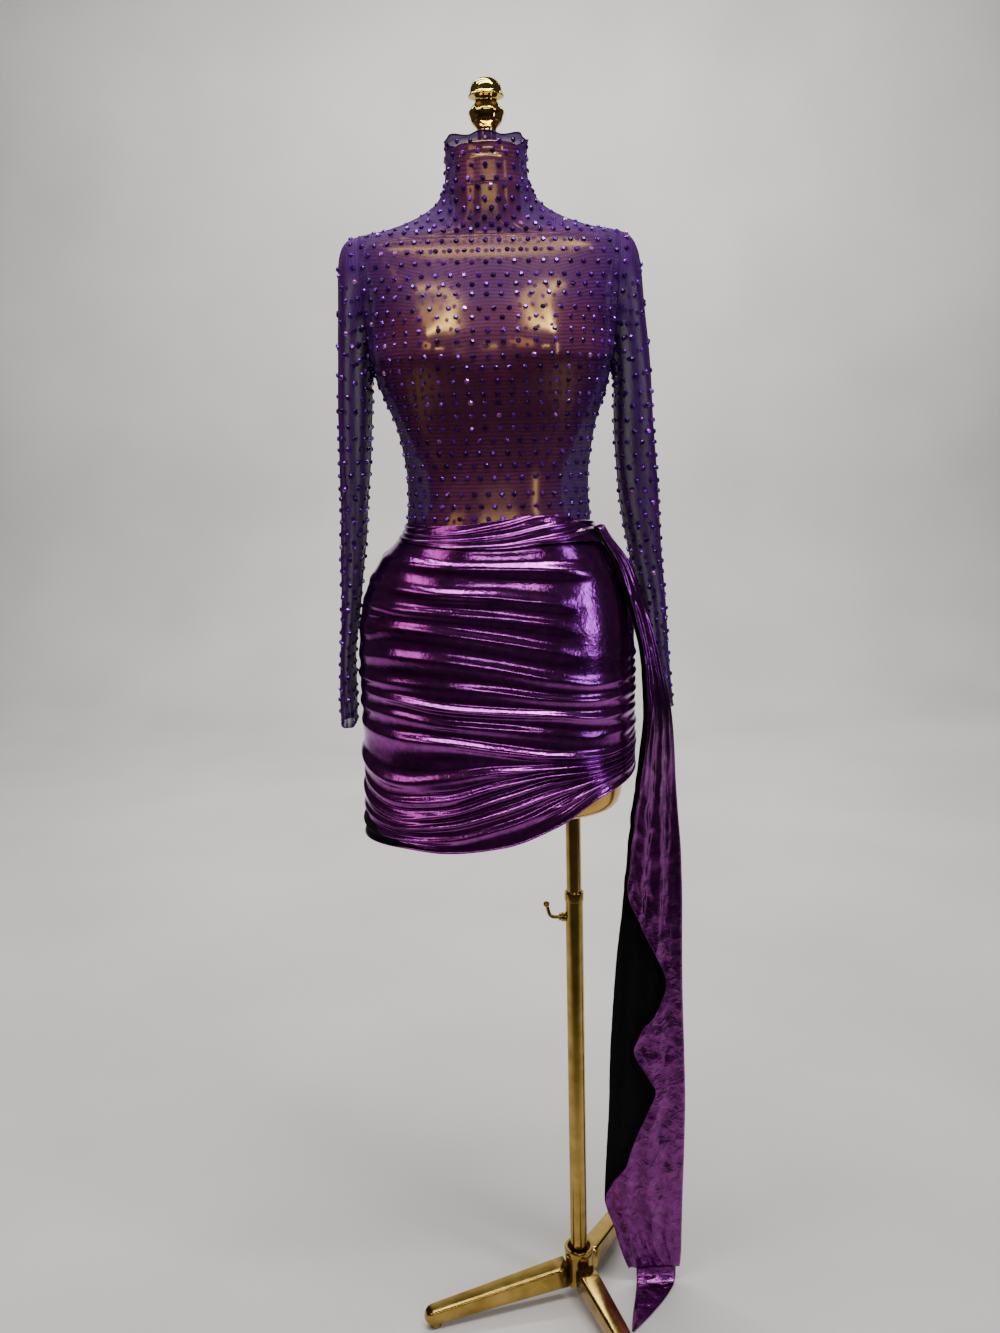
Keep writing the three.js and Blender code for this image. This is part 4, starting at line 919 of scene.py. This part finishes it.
def train_points(seed, rows=300):
    """Back layer, bend and front layer in one row, each set square to the line edge to spine."""
    z = np.linspace(TRAIN[0, 0], TRAIN[-1, 0], rows)
    edge_x, edge_y, spine_x, spine_y, room = read_table(TRAIN, z)
    tuck = smooth(z, 1070, TRAIN[-1, 0])[:, None]
    edge_x, spine_x = edge_x - 3 * tuck, spine_x - 13 * tuck
    share = curve(z, CASCADE[:, 0], CASCADE[:, 1:])
    along_x, along_y = edge_x - spine_x, edge_y - spine_y
    length = np.hypot(along_x, along_y)
    out_x, out_y = -along_y / length, along_x / length
    turn = np.where(out_y > 0, -1, 1)
    out_x, out_y = out_x * turn, out_y * turn
    zz = z[:, None]
    tight = smooth(zz, 700, 950)

    def layer(t, offset):
        pleat = 1.6 * (1 - tight) * np.sin(6 * np.pi * t) + 0.7 * tight * np.sin(14 * np.pi * t)
        for place in PLEATS:
            wander = place + 0.07 * ripple(zz / 240, place * 9, seed + 2)
            pleat = pleat + 3.2 * (0.25 + 0.75 * tight) * np.exp(-((t - wander) / 0.055) ** 2)
        close = (smooth(t, 0, 0.3) - 1) * (1 - tight) * smooth(zz, 60, 300)
        pleat = pleat + np.sign(offset) * 6.5 * close
        ridge = abs(ripple(t * 2.6, zz / 75, seed)) + 0.6 * abs(ripple(t * 5, zz / 34, seed + 1))
        crush = (1.5 - 1.1 * tight) * (0.9 - ridge) * smooth(t, 0.04, 0.2)
        move = offset + pleat * smooth(t, 0, 0.2) + crush
        return spine_x + along_x * t + out_x * move, spine_y + along_y * t + out_y * move

    back_x, back_y = layer(np.linspace(1, 0, 44)[None], 0)
    front_x, front_y = layer(np.linspace(0, 1, 60)[None] * share, room)
    swing = np.linspace(-np.pi / 2, np.pi / 2, 9)[1:-1][None]
    middle, reach = room / 2 * (1 + np.sin(swing)), room / 2 * np.cos(swing)
    bend_x = spine_x - along_x / length * reach + out_x * middle
    bend_y = spine_y - along_y / length * reach + out_y * middle
    return placed(np.hstack([back_x, bend_x, front_x]), np.hstack([back_y, bend_y, front_y]), zz)


train_grid = train_points(50)
train_crush = 0.12 + 0.88 * (1 - smooth(train_grid[..., 2] * 1000, 420, 760))
train = wall(grid_piece("foil_train", train_grid, TRAIN_FOIL, flip=True, crushed=train_crush),
             TRAIN_WALL_MM, REVERSE)

# height, y, left x, right x of the pointed end
TAIL = np.array([(44, 19.2, 180, 240), (20, 18.6, 180, 239), (7, 12, 179.5, 237), (2.2, 2, 178, 232),
                 (1.6, -22, 173, 217), (1.5, -54, 166, 192), (1.5, -84, 161, 165)], float)


def tail_points(rows=60, columns=24):
    """From inside the back layer down, forward and out over the floor to a point."""
    place = np.linspace(0, len(TAIL) - 1, rows)
    z, y, left, right = curve(place, np.arange(len(TAIL)), TAIL).T[:, :, None]
    share = np.linspace(0, 1, columns)[None]
    lift = 0.7 * smooth(place, 3, 5)[:, None] * (1 + np.sin(3 * np.pi * share + place[:, None]))
    return placed(left + (right - left) * share, y + 0 * share, z + lift)


tail_grid = tail_points()
tail = wall(grid_piece("foil_train_tail", tail_grid, TRAIN_FOIL, flip=True, crushed=1.0),
            TRAIN_WALL_MM, REVERSE)
print("train", round(area_of(train_grid), 4), "tail", round(area_of(tail_grid), 4), "m2")

# %% [markdown]
# ## Seams and rolled edges
# A maker's seam shows on sheer mesh as a dark line, because four layers lie together in it, and a
# free edge is rolled over and stitched. Both are drawn as a thin round strip that follows the edge: a
# circle is carried along the row of points where two pieces meet, or along the last row of one.

# %% Seams
ROLL_MM, ARMHOLE_MM, HEM_MM, CUT_EDGE_MM = 0.9, 1.1, 1.4, 0.8       # radius of each strip


def strip(name, path, radius_mm, material, closed=False, segments=8, **shares):
    """Point = path + radius (cosine out + sine across), with out level and away from the axis."""
    if closed:
        path = np.concatenate([path, path[:1]])
    run = np.gradient(path, axis=0)
    if closed:
        run[0] = run[-1] = path[1] - path[-2]
    run = unit(run)
    out = np.column_stack([path[:, 0] - AXIS[0], path[:, 1] - AXIS[1], 0 * path[:, 0]])
    out = unit(out - run * (out * run).sum(axis=1, keepdims=True))
    turn = full_turn(segments)[None, :, None]
    ring = np.cos(turn) * out[:, None] + np.sin(turn) * np.cross(run, out)[:, None]
    return grid_piece(name, path[:, None] + radius_mm / 1000 * ring, material, wrap=True, **shares)


DENSE = dict(cover=0.93, over_gold=0)
under_arm = BODICE_LEVELS < ARMPIT_Z + 1
on_shoulder = BODICE_LEVELS > SHOULDER_Z - 1
seams = {
    "collar": [strip(f"collar_{kind}", collar_grid[row], ROLL_MM, MESH, True, **DENSE)
               for kind, row in (("rolled_edge", -1), ("seam", 0))],
    **{f"sleeve_{side}": [strip(f"armhole_seam_{side}", grid[0], ARMHOLE_MM, MESH, True, **DENSE),
                          strip(f"cuff_edge_{side}", grid[-1], ROLL_MM, MESH, True, **DENSE)]
       for side, grid in (("right", right_grid), ("left", left_grid))},
    "bodice_front": [strip(f"{kind}_seam_{side}", front_grid[rows, column], ROLL_MM, MESH, **DENSE)
                     for side, column in (("right", 0), ("left", -1))
                     for kind, rows in (("side", under_arm), ("shoulder", on_shoulder))],
    **{f"skirt_{half}": [strip(f"skirt_hem_roll_{half}", grid[-1], HEM_MM, FOIL)]
       for half, grid in (("front", skirt_grid_front), ("back", skirt_grid_back))},
    "train": [strip("train_cut_edge", train_grid[:, -1], CUT_EDGE_MM, TRAIN_FOIL)],
}
print("seams and edges:", sum(len(pieces) for pieces in seams.values()))

# %% [markdown]
# ## Setting the stones
# Stones are laid in rows, each row shifted by half a step against the one below. A row is a line of
# the cloth's grid; the places on it are found by the distance run along it. One small cut stone is
# copied to all places at once, by adding its corners along the cloth's own three directions there.

# %% Stones
STONE_MM, STONE_TALL, STEP_MM, ROW_MM = 6.5, 2.4, 17.2, 15.4
JITTER_MM, TILT = 0.5, 0.13             # how far a stone sits off its place and off square
rng = np.random.default_rng(7)


def stone_shape(sides=8):
    """A ring on the cloth, a ring at the girdle and a smaller ring round the flat table."""
    turn = np.arange(sides) / sides * 2 * np.pi
    ring = lambda radius, height, shift: np.column_stack([radius * np.cos(turn + shift),
                                                          radius * np.sin(turn + shift),
                                                          np.full(sides, height)])
    corners = np.concatenate([ring(1, 0, 0), ring(1, 0.3, 0), ring(0.56, 1, math.pi / sides)])
    i = np.arange(sides)
    j = (i + 1) % sides
    band = np.stack([i, j, j + sides, i + sides], axis=1)
    crown = np.stack([i + sides, j + sides, i + 2 * sides], axis=1)
    facet = np.stack([i + 2 * sides, j + sides, j + 2 * sides], axis=1)
    return corners, [*band.tolist(), *crown.tolist(), *facet.tolist(),
                     list(range(2 * sides, 3 * sides))]


def rows_of_stones(points, wrap, outward, skip=0.0, stretch=None):
    """Places and cloth directions of the stones on a grid of points, row by row. Where the cloth is
    stretched, the step between stones grows with it."""
    points = wrapped(points, wrap)
    stretch = np.ones(points.shape[:2]) if stretch is None else stretch
    run = lengths(points, 0)[:, points.shape[1] // 3] * 1000
    side = np.gradient(points, axis=1)
    up = np.gradient(points, axis=0)
    found = []
    for number, level in enumerate(np.arange(skip + 4, run[-1] - 3, ROW_MM)):
        row = int(np.argmin(np.abs(run - level)))
        pace = np.diff(lengths(points[row][None], 1)[0]) * 1000 / stretch[row, 1:]
        walk = np.concatenate([[0], np.cumsum(pace)])
        count = max(int(walk[-1] // STEP_MM), 1)
        step = walk[-1] / count
        places = (np.arange(count) + 0.25 + 0.5 * (number % 2)) * step
        places = places + rng.normal(0, JITTER_MM, count)
        read = lambda grid: np.stack([np.interp(places, walk, grid[row, :, a]) for a in range(3)], 1)
        found.append(np.stack([read(points), read(side), read(up)], axis=1))
    found = np.concatenate(found)
    east = unit(found[:, 1])
    normal = unit(np.cross(found[:, 1], found[:, 2])) * outward
    return found[:, 0], east, np.cross(normal, east), normal


def set_stones(name, points, wrap, outward, skip=0.0, stretch=None):
    """One mesh with a stone at each place: corner = place + east a + north b + normal c."""
    place, east, north, normal = rows_of_stones(points, wrap, outward, skip, stretch)
    tilt = rng.normal(0, TILT, (2, len(place), 1))
    normal = unit(normal + tilt[0] * east + tilt[1] * north)
    east = np.cross(north, normal)
    north = np.cross(normal, east)
    corners, faces = stone_shape()
    spin = rng.uniform(0, math.pi / 4, len(place))[:, None, None]
    a, b, c = corners.T[:, None, :, None]
    spun_a, spun_b = a * np.cos(spin) - b * np.sin(spin), a * np.sin(spin) + b * np.cos(spin)
    radius, tall = STONE_MM / 2000, STONE_TALL / 1000
    all_points = (place[:, None] + radius * (spun_a * east[:, None] + spun_b * north[:, None])
                  + tall * c * normal[:, None])
    count = len(corners)
    every = [[corner + n * count for corner in face] for n in range(len(place)) for face in faces]
    lot = np.repeat(rng.uniform(0, 1, len(place)), count)
    piece = mesh_piece(name, all_points.reshape(-1, 3), every, STONE, stone=lot)
    print(name, len(place), "stones")
    return piece


stones = {
    "bodice_front": set_stones("rhinestones_bodice_front", front_grid, False, 1, skip=6,
                               stretch=0.95 + 0.38 * bust_share(front_grid)),
    "bodice_back": set_stones("rhinestones_bodice_back", back_grid, False, -1, skip=6),
    "collar": set_stones("rhinestones_collar", collar_grid, True, 1),
    "sleeve_right": set_stones("rhinestones_sleeve_right", right_grid, True, -1),
    "sleeve_left": set_stones("rhinestones_sleeve_left", left_grid, True, 1),
}

# %% [markdown]
# ## Riding and replacing
# Each dressed piece takes the place of its solid and moves with the same body. The table also
# names a slot of the record for each piece, which nothing here reads.

# %% Bodies and hidden solids
REPLACES = [
    (form, "form_torso", "form_gold"), (cap, "neck_cap", "form_gold"), (finial, "finial", "form_gold"),
    (upper_tube, "pole_upper", "stand_brass"), (lower_tube, "pole_lower", "stand_brass"),
    (boss, "pole_lower", "stand_brass"), (hub, "hub", "stand_brass"),
    (bodice_front, "bodice_front", "beaded_mesh"), (bodice_back, "bodice_back", "beaded_mesh"),
    (collar, "collar", "beaded_mesh"), (sleeve_right, "sleeve_right_upper", "beaded_mesh"),
    (sleeve_left, "sleeve_left", "beaded_mesh"), (skirt_front, "skirt_front", "foil_jersey"),
    (skirt_back, "skirt_back", "foil_jersey"), (drape, "waist_drape", "foil_jersey"),
    (train, "train", "foil_jersey"), (tail, "train", "foil_jersey"),
]
for leg, (piece, pad) in feet.items():
    REPLACES += [(piece, leg, "stand_brass"), (pad, leg, "stand_brass")]
for piece, solid, slot in REPLACES:
    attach(piece, STAND_BODY)
    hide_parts(solid)
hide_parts("sleeve_right_lower")
for piece in (screw_arm, ball, flange):
    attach(piece, SCREW_BODY)
    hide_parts("lock_screw")
for sheet, pieces in seams.items():
    for piece in pieces:
        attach(piece, STAND_BODY)
for piece in stones.values():
    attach(piece, STAND_BODY)

# %% [markdown]
# ## Floor, wall and light
# The room is a pale floor that curves up into a pale wall, one sheet, so that there is no corner line
# behind the dress, and it stands far enough back that a camera can go right round. In front and far
# out to the sides the floor is painted darker, a painted shade that stands for the room's light falling
# off, so that the undersides of the folds mirror something dark. The light comes from ceiling strips
# and four panels. The metallic cloth mirrors everything in front of it, so the room's own light stays
# low and the panels are bright: the folds then turn from nearly black to white-lilac, as foil does.

# %% Studio
FLOOR_Y, SWEEP_Y, WALL_Y, WALL_TOP, SIDE_X = -6.0, 3.4, 4.4, 5.0, 6
UNDER = 0.0006                          # the floor lies this far below the feet
DARK_FRONT, DARK_SIDE = (-1.0, -0.05), (4.4, 2.3)      # fully dark, fully bright: y, and x either way


def backdrop():
    """Floor just below z = 0, a quarter circle of 1 m radius, then the wall, 4.4 m behind the dress."""
    turn = np.linspace(0, np.pi / 2, 24)
    y = np.concatenate([[FLOOR_Y, -1.0], SWEEP_Y + np.sin(turn), [WALL_Y]])
    z = np.concatenate([[0, 0], 1 - np.cos(turn), [WALL_TOP]])
    x = np.linspace(-SIDE_X, SIDE_X, 9)[None]
    points = np.stack(np.broadcast_arrays(x, y[:, None], z[:, None] - UNDER), axis=-1)
    material, tree, shader = finish("painted_board", Roughness=0.75)
    pale = ramp(tree, noise(tree, 1.5, 2.0)["Fac"], (0.3, "CAC8C4"), (0.7, "D8D6D1"))
    place = node(tree, "ShaderNodeTexCoord").outputs["Object"]
    part = node(tree, "ShaderNodeSeparateXYZ", {0: place}).outputs
    bright = []
    for value, (dark_from, full_from) in ((part["Y"], DARK_FRONT),
                                          (maths(tree, "ABSOLUTE", part["X"]), DARK_SIDE)):
        bright.append(node(tree, "ShaderNodeMapRange", {"Value": value, "From Min": dark_from,
                                                        "From Max": full_from},
                           interpolation_type="SMOOTHSTEP").outputs[0])
    # tone: the floor's painted shade, dark in front and far out to the sides
    tone = mixed(tree, maths(tree, "MULTIPLY", *bright), linear("48484A"), linear("FFFFFF"))
    wire(tree, shader, Base_Color=mixed(tree, 1.0, pale, tone, "MULTIPLY"))
    return grid_piece("backdrop", points, material)


def panel(name, place, target, size, power, colour="FFFFFF"):
    """A rectangular ceiling or side panel that faces its target."""
    data = bpy.data.lights.new(name, "AREA")
    data.shape, data.size, data.size_y = "RECTANGLE", size[0], size[1]
    data.energy, data.color = power, linear(colour)[:3]
    light = bpy.data.objects.new(name, data)
    aim = Vector(target) - Vector(place)
    light.matrix_world = Matrix.Translation(place) @ aim.to_track_quat("-Z", "Y").to_matrix().to_4x4()
    bpy.context.scene.collection.objects.link(light)


backdrop()
# place, length and power of the ceiling strips
CEILING = [((0.0, -0.74, 3.1), 2.8, 34), ((-0.1, -0.32, 3.15), 2.8, 30), ((0.1, 0.1, 3.15), 2.8, 24)]
for number, (place, length, power) in enumerate(CEILING):
    panel(f"ceiling_strip_{number}", place, (0, 0, 1.1), (length, 0.16), power)
panel("ceiling_back", (0.2, 2.0, 3.4), (0, 4.0, 0.8), (3.4, 1.0), 150)
panel("side_right", (-2.0, -1.6, 2.3), (0, 0, 1.0), (1.3, 0.9), 12, "FFDCE4")
panel("side_left", (2.2, -1.5, 1.5), (0, 0, 0.95), (0.3, 1.5), 13, "DCD8FF")
panel("shop_front", (0.3, -4.2, 2.3), (0, 0, 1.1), (2.6, 0.3), 26)
world = bpy.data.worlds.new("studio")
world.use_nodes = True
dim = world.node_tree.nodes["Background"].inputs
dim["Color"].default_value, dim["Strength"].default_value = linear("BEBABC"), 0.1
bpy.context.scene.world = world
